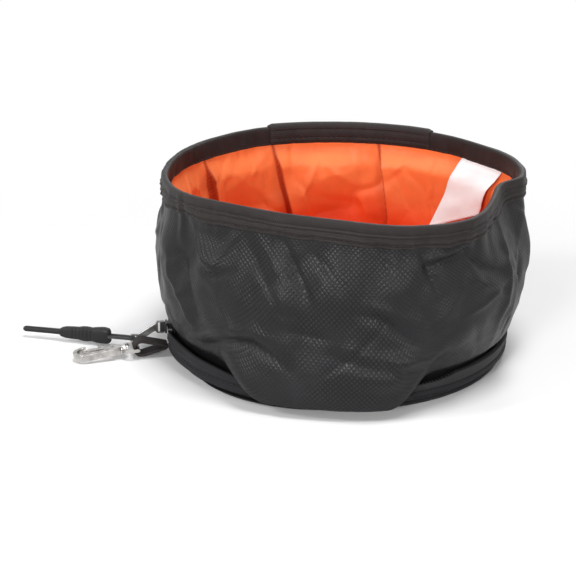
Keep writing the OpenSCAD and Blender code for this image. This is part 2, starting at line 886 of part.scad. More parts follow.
module hook_body() {
    slot_t = gate_t + 2 * pass_gap / 2;
    color("silver") in_hook() {
        difference() {
            translate([hook_from, 0, 0]) union() {
                linear_extrude(hook_t, center = true) hook_outline();
                translate([-boss_l - 2 * pass_gap - head_t, 0, 0])
                    rotate([0, 90, 0]) {
                        cylinder(r = head_r, h = head_t);
                        cylinder(r = post_r, h = head_t + boss_l + 2 * pass_gap + hook_arm / 2);
                    }
            }
            translate([hook_from + pivot_x - gate_lobe_r - pass_gap, -hook_w, -slot_t / 2])
                cube([
                    2 * gate_lobe_r + lobe_r, hook_w + pivot_y + gate_lobe_r + pass_gap, slot_t
                ]);
            translate([hook_from + pivot_x, pivot_y, 0])
                cylinder(r = pin_r, h = hook_t + cut, center = true, $fn = 24);
        }
    }
}

// the gate: a lever on the pin, with a tip behind the nose and a thumb tab outside
spring_r = 1.5;
spring_h = gate_t / 2 - pass_gap / 2;
gate_out = 3.3;
thumb_l = 7;
thumb_w = 2.4;
module hook_gate() {
    tip_x = hook_l - hook_bend;
    inner = hook_bend - hook_arm;
    nose_x = tip_x + hook_bend * cos(nose_az);
    rest_y = -inner + soft_gap;
    color("silver") in_hook() translate([hook_from, 0, 0]) difference() {
        union() {
            translate([pivot_x, pivot_y, 0]) cylinder(r = gate_lobe_r, h = gate_t, center = true);
            linear_extrude(gate_t, center = true) {
                polygon([
                    [pivot_x - gate_lobe_r / 2, pivot_y - gate_lobe_r / 2],
                    [pivot_x + gate_lobe_r, -gate_out - hook_arm / 2],
                    [nose_x - hook_arm / 2, -gate_out - hook_arm / 2],
                    [nose_x - hook_arm / 4, rest_y], [tip_x, rest_y],
                    [tip_x, rest_y + hook_arm * 3 / 4], [pivot_x + gate_lobe_r, -gate_out / 2],
                    [pivot_x, pivot_y + gate_lobe_r / 2]
                ]);
                translate([pivot_x + gate_lobe_r, -gate_out])
                    rotate([0, 0, -40])
                        polygon([
                            [0, -thumb_w / 2], [thumb_l - thumb_w / 2, -thumb_w / 2],
                            [thumb_l, 0], [thumb_l - thumb_w / 2, thumb_w / 2], [0, thumb_w / 2]
                        ]);
            }
        }
        translate([pivot_x, pivot_y, 0])
            cylinder(r = pin_r + run_gap, h = gate_t + cut, center = true, $fn = 24);
        translate([pivot_x, pivot_y, gate_t / 2 - spring_h - run_gap])
            cylinder(r = spring_r + run_gap, h = spring_h + cut);
    }
}

module gate_pin() {
    color("dimgray")
        in_hook()
            translate([hook_from + pivot_x, pivot_y, 0])
                cylinder(r = pin_r, h = hook_t + pass_gap, center = true, $fn = 24);
}

// the small spring that shuts the gate, coiled round the pin in the gate's recess
module gate_spring() {
    color("gray")
        in_hook()
            translate([hook_from + pivot_x, pivot_y, gate_t / 2 - spring_h + run_gap])
                difference() {
                    cylinder(r = spring_r - run_gap, h = spring_h, $fn = 24);
                    translate([0, 0, -cut])
                        cylinder(r = pin_r + run_gap, h = spring_h + 2 * cut, $fn = 24);
                }
}

base_board();
base_cover();
base_floor();
spine_tape();
zip_tape();
zip_teeth();
zip_stop_open();
zip_stop_closed();
wall_outer();
wall_lining();
care_label();
lid_board();
lid_cover();
lid_spine_flap();
lid_zip_tape();
lid_zip_teeth();
rim_hem();
rim_webbing();
zip_slider();
pull_tab();
pull_cord();
pull_grip();
hang_loop();
swivel_eye();
hook_body();
hook_gate();
gate_pin();
gate_spring();
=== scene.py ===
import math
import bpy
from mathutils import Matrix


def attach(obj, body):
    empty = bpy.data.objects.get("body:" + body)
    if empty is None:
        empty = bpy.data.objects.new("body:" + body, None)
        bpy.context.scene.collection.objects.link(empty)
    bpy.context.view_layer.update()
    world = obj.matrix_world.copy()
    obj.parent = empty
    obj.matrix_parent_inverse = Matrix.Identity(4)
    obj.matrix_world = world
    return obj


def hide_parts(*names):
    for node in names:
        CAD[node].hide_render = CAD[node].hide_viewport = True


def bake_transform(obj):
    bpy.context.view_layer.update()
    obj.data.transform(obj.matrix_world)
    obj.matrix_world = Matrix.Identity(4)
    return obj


bl_info = {
    "name": "Collapsible fabric bowl",
    "version": (1, 0, 0),
    "blender": (4, 5, 0),
    "location": "View3D > Sidebar > Bowl",
    "description": "Dresses a collapsible fabric bowl, its zip, pull and hook",
    "category": "Object",
}

import bmesh
import bpy
import numpy as np
from mathutils import Matrix, Vector

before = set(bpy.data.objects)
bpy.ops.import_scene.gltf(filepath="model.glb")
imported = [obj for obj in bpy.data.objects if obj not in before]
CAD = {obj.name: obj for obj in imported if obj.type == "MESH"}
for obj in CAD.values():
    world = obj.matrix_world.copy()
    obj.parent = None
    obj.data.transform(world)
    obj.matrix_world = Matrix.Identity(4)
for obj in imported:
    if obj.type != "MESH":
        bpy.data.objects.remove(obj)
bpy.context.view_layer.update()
MM = 0.001

# sizes that the solids have, in millimetres and degrees: Z is a height, R a radius and AZ an
# azimuth
FLOOR_Z = 7.0
FLOOR_TOP = 7.6
BASE_R = 92.8
BASE_Z = 4.8
TAPE_R = 91.75
TAPE_TOP = 10.8
TEETH_TOP = 12.8
LID_TOP = 2.6
LID_TEETH_R = 80.8
SPINE_AZ = 245.0
SPINE_SPAN = 98.0
SLIDER_AZ = 187.5
STRAP_AZ = 193.5
# the wall's cloth ends this far below the top of the hem
HEM_OVER_WALL = 1.0

# how many points the wall, the lining and the hem have round them, and the first two up them
WALL_COLUMNS = 600
WALL_ROWS = 96
LINING_COLUMNS = 960
HEM_COLUMNS = 600

# height of the rim, by azimuth
RIM_HEIGHTS = [
    (0, 101.5), (14, 101.6), (33, 100.6), (46, 101.0), (60, 101.2), (90, 101.0),
    (121, 101.2), (139, 100.3), (154, 99.6), (180, 98.8), (208, 99.2), (223, 101.0),
    (235, 102.3), (245, 102.3), (262, 101.3), (270, 100.4), (278, 98.9), (287, 97.2),
    (295, 96.4), (305, 95.8), (317, 96.8), (332, 98.6), (345, 100.4),
]
# outer radius of the hem, by azimuth: it folds in beside the label
RIM_RADII = [
    (0, 98.2), (20, 97.4), (40, 96.6), (60, 96.2), (90, 95.8), (120, 95.4), (150, 94.8),
    (180, 93.6), (200, 94.6), (220, 95.4), (245, 96.2), (270, 97.2), (296, 99.6),
    (305, 100.2), (312, 99.6), (319, 96.2), (328, 91.4), (336, 88.2), (341, 87.4),
    (345, 89.8), (348, 93.6), (350, 96.4), (354, 97.8),
]
# outer radius of the wall on the left and the right, by share of its height
LEFT_PROFILE = [
    (0, 87.2), (0.03, 88.0), (0.065, 88.6), (0.1, 89.6), (0.16, 93.4), (0.26, 96.2),
    (0.38, 97.8), (0.5, 98.8), (0.7, 98.2), (0.88, 95.6), (1, 94.0),
]
RIGHT_PROFILE = [
    (0, 87.2), (0.03, 88.2), (0.065, 88.8), (0.09, 89.8), (0.14, 94.6), (0.26, 98.8),
    (0.38, 101.0), (0.5, 102.2), (0.7, 102.2), (0.88, 101.0), (1, 98.2),
]
# the front of the wall has slipped down over the lip: share, radius, height
SLUMP_PROFILE = [
    (0, 87.2, 7.0), (0.03, 87.9, 12.4), (0.06, 88.6, 16.6), (0.085, 91.4, 18.5),
    (0.11, 95.4, 17.0), (0.14, 97.8, 12.6), (0.17, 98.8, 8.2), (0.2, 99.9, 5.4),
    (0.23, 101.0, 5.7), (0.28, 101.6, 10.2), (0.4, 101.5, 25.0), (0.5, 101.1, 39.0),
    (0.65, 100.6, 60.0), (0.8, 99.4, 79.0), (0.9, 98.4, 90.4), (1, 96.2, 99.8),
]
# azimuths between which the slump sets in, is full and ends
SLUMP_FROM = 227
SLUMP_FULL_FROM = 250
SLUMP_FULL_TO = 284
SLUMP_TO = 303

# broad folds: azimuth, half width, height share, half height share, depth
WALL_FOLDS = [
    (216, 12, 0.5, 0.42, -2.0), (230, 9, 0.69, 0.17, 2.6), (206, 9, 0.55, 0.4, 1.0),
    (219, 6, 0.73, 0.18, -1.6), (253, 8, 0.66, 0.14, 2.3), (269, 9, 0.72, 0.15, 2.6),
    (287, 8, 0.73, 0.14, 2.0), (242, 12, 0.3, 0.16, 1.9), (282, 15, 0.4, 0.1, 2.4),
    (262, 12, 0.5, 0.12, -1.3), (304, 11, 0.34, 0.15, 2.1), (258, 22, 0.62, 0.26, 0.6),
    (298, 18, 0.5, 0.34, 0.5), (318, 20, 0.45, 0.35, 0.8), (339, 12, 0.5, 0.45, -1.8),
    (352, 9, 0.62, 0.34, 0.6), (20, 16, 0.5, 0.4, -1.6), (74, 12, 0.55, 0.42, -1.6),
    (112, 13, 0.5, 0.42, -1.7), (146, 12, 0.55, 0.42, -1.6), (95, 12, 0.4, 0.3, 1.0),
    (40, 14, 0.35, 0.3, 1.0), (168, 13, 0.42, 0.36, 1.2), (188, 12, 0.5, 0.4, -1.3),
    (130, 10, 0.62, 0.3, 0.9), (58, 10, 0.6, 0.3, 0.9),
]
# narrow folds: depth, width, then the azimuths and heights that they run through
WALL_CREASES = [
    (-1.8, 2.8, [(218, 25), (224, 24), (231, 28), (238, 34), (246, 35), (252, 31), (257, 25)]),
    (1.2, 4.0, [(216, 31), (226, 33), (236, 40), (246, 42), (255, 38)]),
    (-1.5, 3.4, [(213, 72), (219, 56), (222, 44), (224, 34)]),
    (1.3, 2.8, [(208, 66), (210, 55), (217, 43), (222, 32), (224, 26)]),
    (1.3, 2.4, [(219, 90), (226, 79), (232, 70)]),
    (1.2, 2.2, [(232, 70), (236, 80), (241, 92)]),
    (-1.4, 2.4, [(225, 69), (232, 65), (239, 70)]),
    (-1.3, 2.4, [(253, 92), (256, 82), (259, 72), (262, 64)]),
    (-1.0, 2.2, [(280, 91), (283, 81), (285, 72)]),
    (-1.3, 2.4, [(292, 90), (294, 79), (297, 68), (299, 60)]),
    (-1.4, 2.4, [(275, 56), (281, 53), (286, 46), (291, 39)]),
    (0.9, 2.8, [(278, 60), (284, 56), (291, 49)]),
    (1.2, 3.6, [(270, 40), (277, 36), (286, 31), (296, 30), (306, 34)]),
    (-0.9, 3.0, [(268, 34), (278, 29), (288, 24), (298, 23)]),
    (1.1, 1.5, [(292, 78), (297, 81), (303, 82), (310, 84)]),
    (-1.1, 1.6, [(294, 75), (300, 78), (308, 79)]),
    (-1.8, 2.4, [(305, 84), (309, 79), (313, 72), (320, 66), (327, 62)]),
    (1.4, 3.2, [(331, 90), (329, 72), (326, 52), (324, 38), (325, 26)]),
    (-1.5, 2.6, [(337, 64), (336, 50), (334, 40), (333, 26)]),
    (1.1, 2.6, [(306, 72), (314, 62), (322, 59), (330, 63)]),
    (-1.8, 3.2, [(319, 93), (324, 91), (328, 86)]),
    (-1.7, 3.4, [(341, 66), (340, 52), (336, 40), (333, 26)]),
    (1.0, 3.6, [(334, 60), (332, 46), (328, 34)]),
    (-0.8, 2.6, [(243, 86), (247, 74), (252, 62), (256, 50)]),
    (0.8, 3.0, [(247, 88), (252, 76), (258, 66)]),
    (-0.8, 2.4, [(262, 84), (268, 76), (272, 64)]),
    (-0.9, 3.0, [(255, 46), (263, 43), (270, 42)]),
    (-1.2, 2.6, [(352, 84), (354, 66), (351, 44), (353, 26)]),
    (-1.2, 3.0, [(10, 80), (7, 58), (12, 34)]),
    (-1.3, 3.0, [(52, 84), (56, 60), (50, 30)]),
    (1.0, 3.2, [(66, 76), (78, 62), (90, 58)]),
    (-1.3, 3.0, [(98, 82), (104, 58), (99, 32)]),
    (-1.1, 2.6, [(120, 40), (130, 34), (141, 38)]),
    (-1.3, 3.0, [(158, 86), (162, 60), (157, 28)]),
    (1.0, 3.0, [(172, 78), (180, 66), (188, 64)]),
    (-1.2, 2.8, [(196, 84), (199, 62), (196, 36)]),
    (-1.0, 2.6, [(168, 30), (180, 25), (192, 29), (204, 26)]),
    (-1.0, 2.6, [(22, 30), (34, 25), (46, 29)]),
    (-1.0, 2.6, [(76, 28), (88, 23), (100, 27)]),
]
# how much deeper the folds and creases are than in their tables, and the creases' form
FOLD_GAIN = 1.35
CREASE_GAIN = 1.55
CREASE_RADIUS = 98
CREASE_SHARPNESS = 1.5
CREASE_FADE = 0.6
CREASE_ENDS = (0.04, 0.96)
# short creases spread over the wall: how many, and between which sizes each one is drawn
LOOSE_CREASES = 54
LOOSE_SEED = 7
LOOSE_HEIGHT = (26, 80)
LOOSE_REACH = (5, 11)
LOOSE_RISE = (5, 16)
LOOSE_BEND = (-4, 4)
LOOSE_DEPTH = (0.35, 0.75)
LOOSE_WIDTH = (1.8, 3.4)
# unevenness of the cloth: depth, width of a cell in degrees, its height share, and the seed
WALL_UNEVEN = [(1.0, 12, 0.24, 11), (0.5, 4.5, 0.11, 12)]
LINING_UNEVEN = [(0.7, 9, 0.2, 21), (0.28, 3.6, 0.09, 22)]
GATHERS = (0.5, 2.4, 0.1, 13)
GATHER_STRETCH = 0.35
GATHER_REST = 0.4
# shares of the height between which the folds, the gathers and the rim's shape set in or end
FOLDS_SET_IN = (0.1, 0.2)
SLUMP_FOLDS_SET_IN = (0.16, 0.3)
FOLDS_END = (0.86, 0.97)
GATHERS_SET_IN = (0.55, 0.88)
GATHERS_END = (0.97, 1.0)
RIM_SETS_IN = (0.52, 1.0)
# the lining is tucked along these lines of (azimuth, height), and hangs inwards between them
LINING_SLACK = 5.4
LINING_TUCKS = [
    [(4, 94), (6, 60), (3, 14)], [(77, 96), (75, 78), (72, 45), (73, 14)],
    [(117, 96), (114, 76), (109, 46), (110, 14)], [(148, 92), (146, 80), (142, 56), (142, 14)],
    [(178, 92), (180, 60), (177, 14)], [(208, 92), (207, 60), (209, 14)],
    [(238, 94), (240, 60), (237, 14)], [(268, 92), (266, 60), (269, 14)],
    [(298, 90), (299, 60), (297, 14)], [(326, 92), (327, 60), (325, 14)],
]
TUCK_REACH = 17.0
TUCK_EDGE = 0.9
TUCK_FOLD = 0.3
TUCK_FOLD_REACH = 5.0
# painted shadow: the width in millimetres of the darkening painted along each tuck
TUCK_SHADOW_WIDTH = 0.9
# painted shade low in the bowl: the floor is a little deeper in colour than the lining
FLOOR_SHADE_SHARES = (0.92, 0.62, 0.5)
# painted shade low in the bowl: the lining turns a deeper red between these heights
LOW_SHADE_FULL_Z = 42.0
LOW_SHADE_GONE_Z = 66.0
LOW_SHADE_WANDER = (7.0, 16, 0.3, 51)
LOW_SHADE_WANDER_HEIGHT = 100
# how far the lining is inside the wall, and the height shares between which it sags freely
LINING_IN = 1.7
LINING_RADIUS = 92
LINING_SAGS = (0.0, 0.2)
LINING_SAG_ENDS = (0.74, 0.875)
LINING_CARRIED = (0.79, 0.87)
# narrow and broad folds of the lining, in the form of the wall's narrow ones
LINING_CREASES = [
    (-1.0, 3.0, [(100, 84), (92, 72), (82, 62)]),
    (1.0, 2.6, [(104, 62), (94, 54), (80, 50)]),
    (-0.9, 3.0, [(136, 82), (128, 70), (120, 62)]),
    (0.9, 2.4, [(66, 80), (58, 66), (54, 50)]),
    (-3.0, 9.0, [(107, 60), (94, 70), (80, 74)]),
    (3.6, 9.0, [(104, 42), (92, 47), (80, 50)]),
    (-2.2, 8.0, [(139, 66), (128, 74), (119, 76)]),
    (2.6, 8.0, [(140, 44), (128, 50), (116, 54)]),
    (-1.8, 7.0, [(176, 62), (164, 72), (152, 74)]),
    (2.0, 7.0, [(170, 44), (160, 52), (150, 56)]),
    (0.8, 2.4, [(160, 80), (164, 60)]),
]

# section of the hem: outwards from the wall's outer face, and up from the rim
HEM_SECTION = [
    (0.3, -11.0), (0.62, -11.25), (1.05, -11.1), (1.35, -10.6), (1.3, -10.0), (0.95, -9.7),
    (0.62, -9.45), (0.95, -9.2), (1.4, -8.8), (1.5, -8.0), (1.4, -7.1), (1.1, -6.6),
    (1.0, -6.3), (1.5, -5.9), (1.95, -5.4), (1.6, -4.9), (1.0, -4.6), (1.15, -4.2),
    (1.3, -3.4), (1.22, -2.2), (1.1, -1.2), (0.9, -0.5), (0.4, -0.1), (-0.4, 0.05),
    (-1.2, 0.0), (-1.9, -0.3), (-2.25, -0.9), (-2.4, -2.2), (-2.4, -4.4), (-2.42, -6.6),
    (-2.4, -8.4), (-2.44, -9.4), (-2.3, -9.8), (-2.44, -10.2), (-2.36, -10.7), (-2.1, -10.9),
    (-1.75, -10.6), (-1.7, -6.0), (-1.7, -1.3), (-0.7, -1.0), (0.3, -1.3), (0.3, -6.0),
]
# the outside of the hem is ruffled and hangs unevenly towards its lower edge
HEM_LOOSE = (-2, -11)
HEM_OUTSIDE = (-0.5, 0.5)
HEM_RUFFLE = (0.45, 2.8, 0.2, 31)
HEM_RUFFLE_HEIGHT = 40
HEM_SWELL = (0.3, 6, 0.25, 33)
HEM_SWELL_HEIGHT = 30
HEM_DROP = (0.5, 4.2, 0.5, 32)
# section of the webbing sewn over the back of the hem, and the azimuths that it spans
WEBBING_SECTION = [
    (1.9, -9.5), (2.3, -9.6), (2.75, -9.3), (2.85, -8.8), (2.6, -8.3), (2.85, -7.8),
    (2.85, -6.6), (2.62, -6.2), (2.9, -5.8), (2.92, -4.6), (2.66, -4.2), (2.9, -3.8),
    (2.84, -2.4), (2.56, -1.9), (2.7, -1.2), (2.4, 0.2), (1.9, 1.0), (1.2, 1.4),
    (-0.6, 1.5), (-2.2, 1.35), (-3.3, 0.8), (-3.8, 0.0), (-4.0, -1.6), (-3.78, -2.0),
    (-4.0, -2.5), (-4.0, -6.8), (-3.76, -7.2), (-4.0, -7.7), (-3.95, -9.1), (-3.6, -9.5),
    (-3.0, -9.4), (-2.85, -8.6), (-2.8, -1.0), (-2.3, -0.2), (-1.4, 0.25), (0.5, 0.25),
    (1.3, -0.1), (1.85, -0.9), (1.9, -4.6),
]
WEBBING_FROM = 56
WEBBING_TO = 117

# azimuth and height of the label's corners, in turn round its outline
LABEL_CORNERS = [(41, 93.5), (18, 94.5), (28, 62), (53, 45)]


# Shapes in numbers


def smooth_step(low, high, x):
    """0 below low, 1 above high and a smooth rise between them."""
    t = np.clip((x - low) / (high - low), 0, 1)
    return t * t * (3 - 2 * t)


def round_table(rows, spread=2.5):
    """A smooth curve through rows of (azimuth, value), closed round the circle."""
    step = 0.5
    grid = np.arange(0, 360, step)
    az = np.array([r[0] for r in rows], float)
    value = np.array([r[1] for r in rows], float)
    raw = np.interp(grid, az, value, period=360)
    reach = int(3 * spread / step)
    window = np.exp(-0.5 * (np.arange(-reach, reach + 1) * step / spread) ** 2)
    window /= window.sum()
    padded = np.concatenate([raw[-reach:], raw, raw[:reach]])
    smooth = np.convolve(padded, window, mode="valid")
    return lambda a: np.interp(np.asarray(a) % 360, grid, smooth, period=360)


def profile_curve(rows, column=1):
    """A smooth curve through rows of (share, value)."""
    samples = 401
    grid = np.linspace(0, 1, samples)
    raw = np.interp(grid, [r[0] for r in rows], [r[column] for r in rows])
    window = np.hanning(15)[1:-1]
    window /= window.sum()
    reach = len(window) // 2
    padded = np.concatenate(
        [2 * raw[0] - raw[reach:0:-1], raw, 2 * raw[-1] - raw[-2:-reach - 2:-1]]
    )
    smooth = np.convolve(padded, window, mode="valid")
    smooth[0] = raw[0]
    return lambda s: np.interp(s, grid, smooth)


rim_height = round_table(RIM_HEIGHTS, 3.5)
rim_radius = round_table(RIM_RADII, 1.6)
left_profile = profile_curve(LEFT_PROFILE)
right_profile = profile_curve(RIGHT_PROFILE)
slump_radius = profile_curve(SLUMP_PROFILE)
slump_height = profile_curve(SLUMP_PROFILE, 2)


def lattice_noise(a, s, cell_a, cell_s, seed):
    """Seeded smooth noise between -1 and 1 over azimuth and height share."""
    count_a = int(round(360 / cell_a))
    count_s = int(math.ceil(2 / cell_s)) + 3
    values = np.random.default_rng(seed).uniform(-1, 1, (count_s, count_a))
    x = (np.asarray(a) % 360) / 360 * count_a
    y = (np.asarray(s) + 0.5) / cell_s
    x0 = np.floor(x).astype(int)
    y0 = np.clip(np.floor(y).astype(int), 0, count_s - 2)
    fx = x - x0
    fy = np.clip(y - y0, 0, 1)
    fx = fx * fx * (3 - 2 * fx)
    fy = fy * fy * (3 - 2 * fy)
    x1 = (x0 + 1) % count_a
    x0 = x0 % count_a
    low = values[y0, x0] * (1 - fx) + values[y0, x1] * fx
    high = values[y0 + 1, x0] * (1 - fx) + values[y0 + 1, x1] * fx
    return low * (1 - fy) + high * fy


def noise_layer(a, s, layer):
    """Smooth noise of a (depth, cell width, cell height, seed) row."""
    depth, cell_a, cell_s, seed = layer
    return depth * lattice_noise(a, s, cell_a, cell_s, seed)


def az_gap(a, centre):
    """Degrees from centre to a, between -180 and 180."""
    return (np.asarray(a) - centre + 540) % 360 - 180


def bumps(a, s, rows):
    """Broad rounded folds, each within its own window of azimuth and height."""
    total = np.zeros(np.broadcast(a, s).shape)
    for centre, half, share, half_share, depth in rows:
        across = np.clip(np.abs(az_gap(a, centre)) / half, 0, 1)
        along = np.clip(np.abs(s - share) / half_share, 0, 1)
        rise = (1 + np.cos(np.pi * across)) * (1 + np.cos(np.pi * along))
        total = total + depth * rise / 4
    return total


def creases(a, z, rows, radius):
    """Narrow folds along broken lines, fading out at both ends."""
    total = np.zeros(np.broadcast(a, z).shape)
    per_degree = math.radians(radius)
    for depth, width, places in rows:
        centre = places[len(places) // 2][0]
        x = az_gap(a, centre) * per_degree
        px = np.array([az_gap(p[0], centre) * per_degree for p in places])
        pz = np.array([p[1] for p in places], float)
        lengths = np.hypot(np.diff(px), np.diff(pz))
        run = np.concatenate([[0], np.cumsum(lengths)])
        nearest = np.full(total.shape, np.inf)
        at = np.zeros(total.shape)
        for k, length in enumerate(lengths):
            dx = (px[k + 1] - px[k]) / length
            dz = (pz[k + 1] - pz[k]) / length
            t = np.clip((x - px[k]) * dx + (z - pz[k]) * dz, 0, length)
            d = np.hypot(x - px[k] - t * dx, z - pz[k] - t * dz)
            closer = d < nearest
            nearest = np.where(closer, d, nearest)
            at = np.where(closer, run[k] + t, at)
        fade = np.sin(np.pi * np.clip(at / run[-1], *CREASE_ENDS)) ** CREASE_FADE
        total = total + depth * fade * np.exp(-(nearest / width) ** CREASE_SHARPNESS)
    return total


def loose_creases():
    """Short slanting creases spread over the whole wall, the same in each run."""
    chance = np.random.default_rng(LOOSE_SEED)
    rows = []
    for k in range(LOOSE_CREASES):
        az = (k + chance.uniform(0, 1)) * 360 / LOOSE_CREASES
        z = chance.uniform(*LOOSE_HEIGHT)
        reach = chance.uniform(*LOOSE_REACH)
        rise = chance.choice([-1, 1]) * chance.uniform(*LOOSE_RISE)
        bend = chance.uniform(*LOOSE_BEND)
        depth = chance.choice([-1, 1]) * chance.uniform(*LOOSE_DEPTH)
        places = [(az - reach, z - rise), (az, z + bend), (az + reach, z + rise)]
        rows.append((depth, chance.uniform(*LOOSE_WIDTH), places))
    return rows


WALL_CREASES += loose_creases()


def tuck_gaps(a, z):
    """Distance in millimetres from each tuck of the lining, one tuck at a time."""
    for places in LINING_TUCKS:
        upward = places[::-1]
        line = np.interp(z, [p[1] for p in upward], [p[0] for p in upward])
        yield az_gap(a, line) * math.radians(BASE_R)


def tucks(a, z):
    """How far the lining hangs in: caught on one side of each tuck, loose on the other."""
    hang = np.ones(np.broadcast(a, z).shape)
    edge = np.zeros(hang.shape)
    for gap in tuck_gaps(a, z):
        caught = np.exp(-np.maximum(gap, 0) / TUCK_REACH) * smooth_step(-TUCK_EDGE, 0, gap)
        hang = hang * (1 - caught)
        edge = edge + TUCK_FOLD * np.exp(np.minimum(gap, 0) / TUCK_FOLD_REACH) * (gap < 0)
    return hang * (1 + edge)


def slump_share(a):
    """1 where the wall has slipped down over the lip, 0 where it stands."""
    a = np.asarray(a) % 360
    start = smooth_step(SLUMP_FROM, SLUMP_FULL_FROM, a)
    return start * (1 - smooth_step(SLUMP_FULL_TO, SLUMP_TO, a))


def standing_height(a, s):
    """Height of a share of the wall where it stands straight."""
    return FLOOR_Z + s * (rim_height(a) - HEM_OVER_WALL - FLOOR_Z)


def plain_wall(a, s):
    """Radius and height of the wall without its small folds, and the radius without the slump."""
    lean = (1 + np.cos(np.radians(a))) / 2
    standing = left_profile(s) * (1 - lean) + right_profile(s) * lean
    slump = slump_share(a)
    front = (left_profile(s) + right_profile(s)) / 2
    front_height = FLOOR_Z + s * (SLUMP_PROFILE[-1][2] - FLOOR_Z)
    slipped = standing + slump * (slump_radius(s) - front)
    height = standing_height(a, s) + slump * (slump_height(s) - front_height)
    to_rim = smooth_step(*RIM_SETS_IN, s)
    rim = rim_radius(a) - HEM_OVER_WALL
    radius = slipped * (1 - to_rim) + rim * to_rim
    without = standing * (1 - to_rim) + rim * to_rim
    return radius, height, without


def wall_move(a, s, height):
    """How far the folds carry the outer fabric outwards or inwards."""
    folds = FOLD_GAIN * bumps(a, s, WALL_FOLDS)
    folds = folds + CREASE_GAIN * creases(a, height, WALL_CREASES, CREASE_RADIUS)
    for layer in WALL_UNEVEN:
        folds = folds + noise_layer(a, s, layer)
    gathered = smooth_step(*GATHERS_SET_IN, s)
    gathered = gathered * (1 - smooth_step(*GATHERS_END, s) * (1 - GATHER_REST))
    move = folds * (1 - smooth_step(*FOLDS_END, s))
    move = move + gathered * noise_layer(a, s * GATHER_STRETCH, GATHERS)
    slump = slump_share(a)
    loose = smooth_step(*FOLDS_SET_IN, s) * (1 - slump)
    return move * (loose + slump * smooth_step(*SLUMP_FOLDS_SET_IN, s))


def wall_surface(a, s):
    """Radius and height of the wall's outer face."""
    radius, height, _ = plain_wall(a, s)
    return radius + wall_move(a, s, height), height


def lining_surface(a, s):
    """Radius and height of the lining's inner face."""
    without_slump = plain_wall(a, s)[2]
    height = standing_height(a, s)
    sag = -LINING_SLACK * tucks(a, height) + creases(a, height, LINING_CREASES, LINING_RADIUS)
    for layer in LINING_UNEVEN:
        sag = sag + noise_layer(a, s, layer)
    sag = sag * smooth_step(*LINING_SAGS, s) * (1 - smooth_step(*LINING_SAG_ENDS, s))
    carried = smooth_step(*LINING_CARRIED, s)
    inward = wall_move(a, s, height)
    inward = np.minimum(inward, 0) * (1 - carried) + inward * carried
    return without_slump - LINING_IN + inward + np.minimum(sag, 0), height


def paint_lining_shade(piece):
    """Stores at each point the painted shadow along the tucks, by how close it is to a tuck, and
    the painted shade low in the bowl, by how deep it is, for the finish.
    """
    place = np.empty(3 * len(piece.data.vertices))
    piece.data.vertices.foreach_get("co", place)
    x, y, z = place.reshape(-1, 3).T / MM
    a = np.degrees(np.arctan2(y, x)) % 360
    tuck_shadow = np.zeros(len(z))
    for gap in tuck_gaps(a, z):
        tuck_shadow = np.maximum(tuck_shadow, np.exp(-((gap + TUCK_SHADOW_WIDTH / 2) / TUCK_SHADOW_WIDTH) ** 2))
    wander = noise_layer(a, z / LOW_SHADE_WANDER_HEIGHT, LOW_SHADE_WANDER)
    depth = 1 - smooth_step(LOW_SHADE_FULL_Z, LOW_SHADE_GONE_Z, z + wander)
    # tuck holds the painted tuck shadow, and depth holds the painted shade low in the bowl
    for name, values in (("tuck", tuck_shadow), ("depth", depth)):
        layer = piece.data.attributes.new(name, "FLOAT", "POINT")
        layer.data.foreach_set("value", values.astype(np.float32))


def at_azimuths(radius, a, z):
    """Points at radii, azimuths in degrees and heights."""
    rad = np.radians(a)
    return np.stack([radius * np.cos(rad), radius * np.sin(rad), z + 0 * radius], -1)


def outwards(a):
    """Directions away from the axis at azimuths in degrees."""
    return at_azimuths(np.ones(len(a)), a, 0)


def run_along(path):
    """Distance along a path at each of its points."""
    steps = np.linalg.norm(np.diff(np.asarray(path, float), axis=0), axis=1)
    return np.concatenate([[0], np.cumsum(steps)])


# Meshes


def grid_piece(name, points, uv, wrap_u=False, wrap_v=False, caps=False, sharp=None):
    """A mesh piece from points[row, column] in millimetres, with its map in metres."""
    rows, cols = points.shape[:2]
    face_rows = rows if wrap_v else rows - 1
    face_cols = cols if wrap_u else cols - 1
    j, i = np.meshgrid(np.arange(face_rows), np.arange(face_cols), indexing="ij")
    j2 = (j + 1) % rows
    i2 = (i + 1) % cols
    quads = np.stack([j * cols + i, j * cols + i2, j2 * cols + i2, j2 * cols + i], -1)
    faces = quads.reshape(-1, 4).tolist()
    corner = np.stack(
        [uv[j, i], uv[j, i + 1], uv[j + 1, i + 1], uv[j + 1, i]], -2
    ).reshape(-1, 2)
    if caps:
        if wrap_v:
            ends = [[r * cols for r in range(rows)], [r * cols + cols - 1 for r in range(rows)]]
        else:
            ends = [list(range(cols)), [(rows - 1) * cols + c for c in range(cols)]]
        flat = points.reshape(-1, 3)
        for end in ends:
            faces.append(end)
            place = flat[end]
            middle = place.mean(0)
            across = place - middle
            long = across[np.argmax((across ** 2).sum(1))]
            long = long / (np.linalg.norm(long) + 1e-9)
            normal = np.cross(across[0], across[len(across) // 3])
            side = np.cross(normal, long)
            side = side / (np.linalg.norm(side) + 1e-9)
            corner = np.concatenate(
                [corner, np.stack([across @ long, across @ side], -1) * MM]
            )
    return mesh_piece(name, points.reshape(-1, 3), faces, corner, sharp)


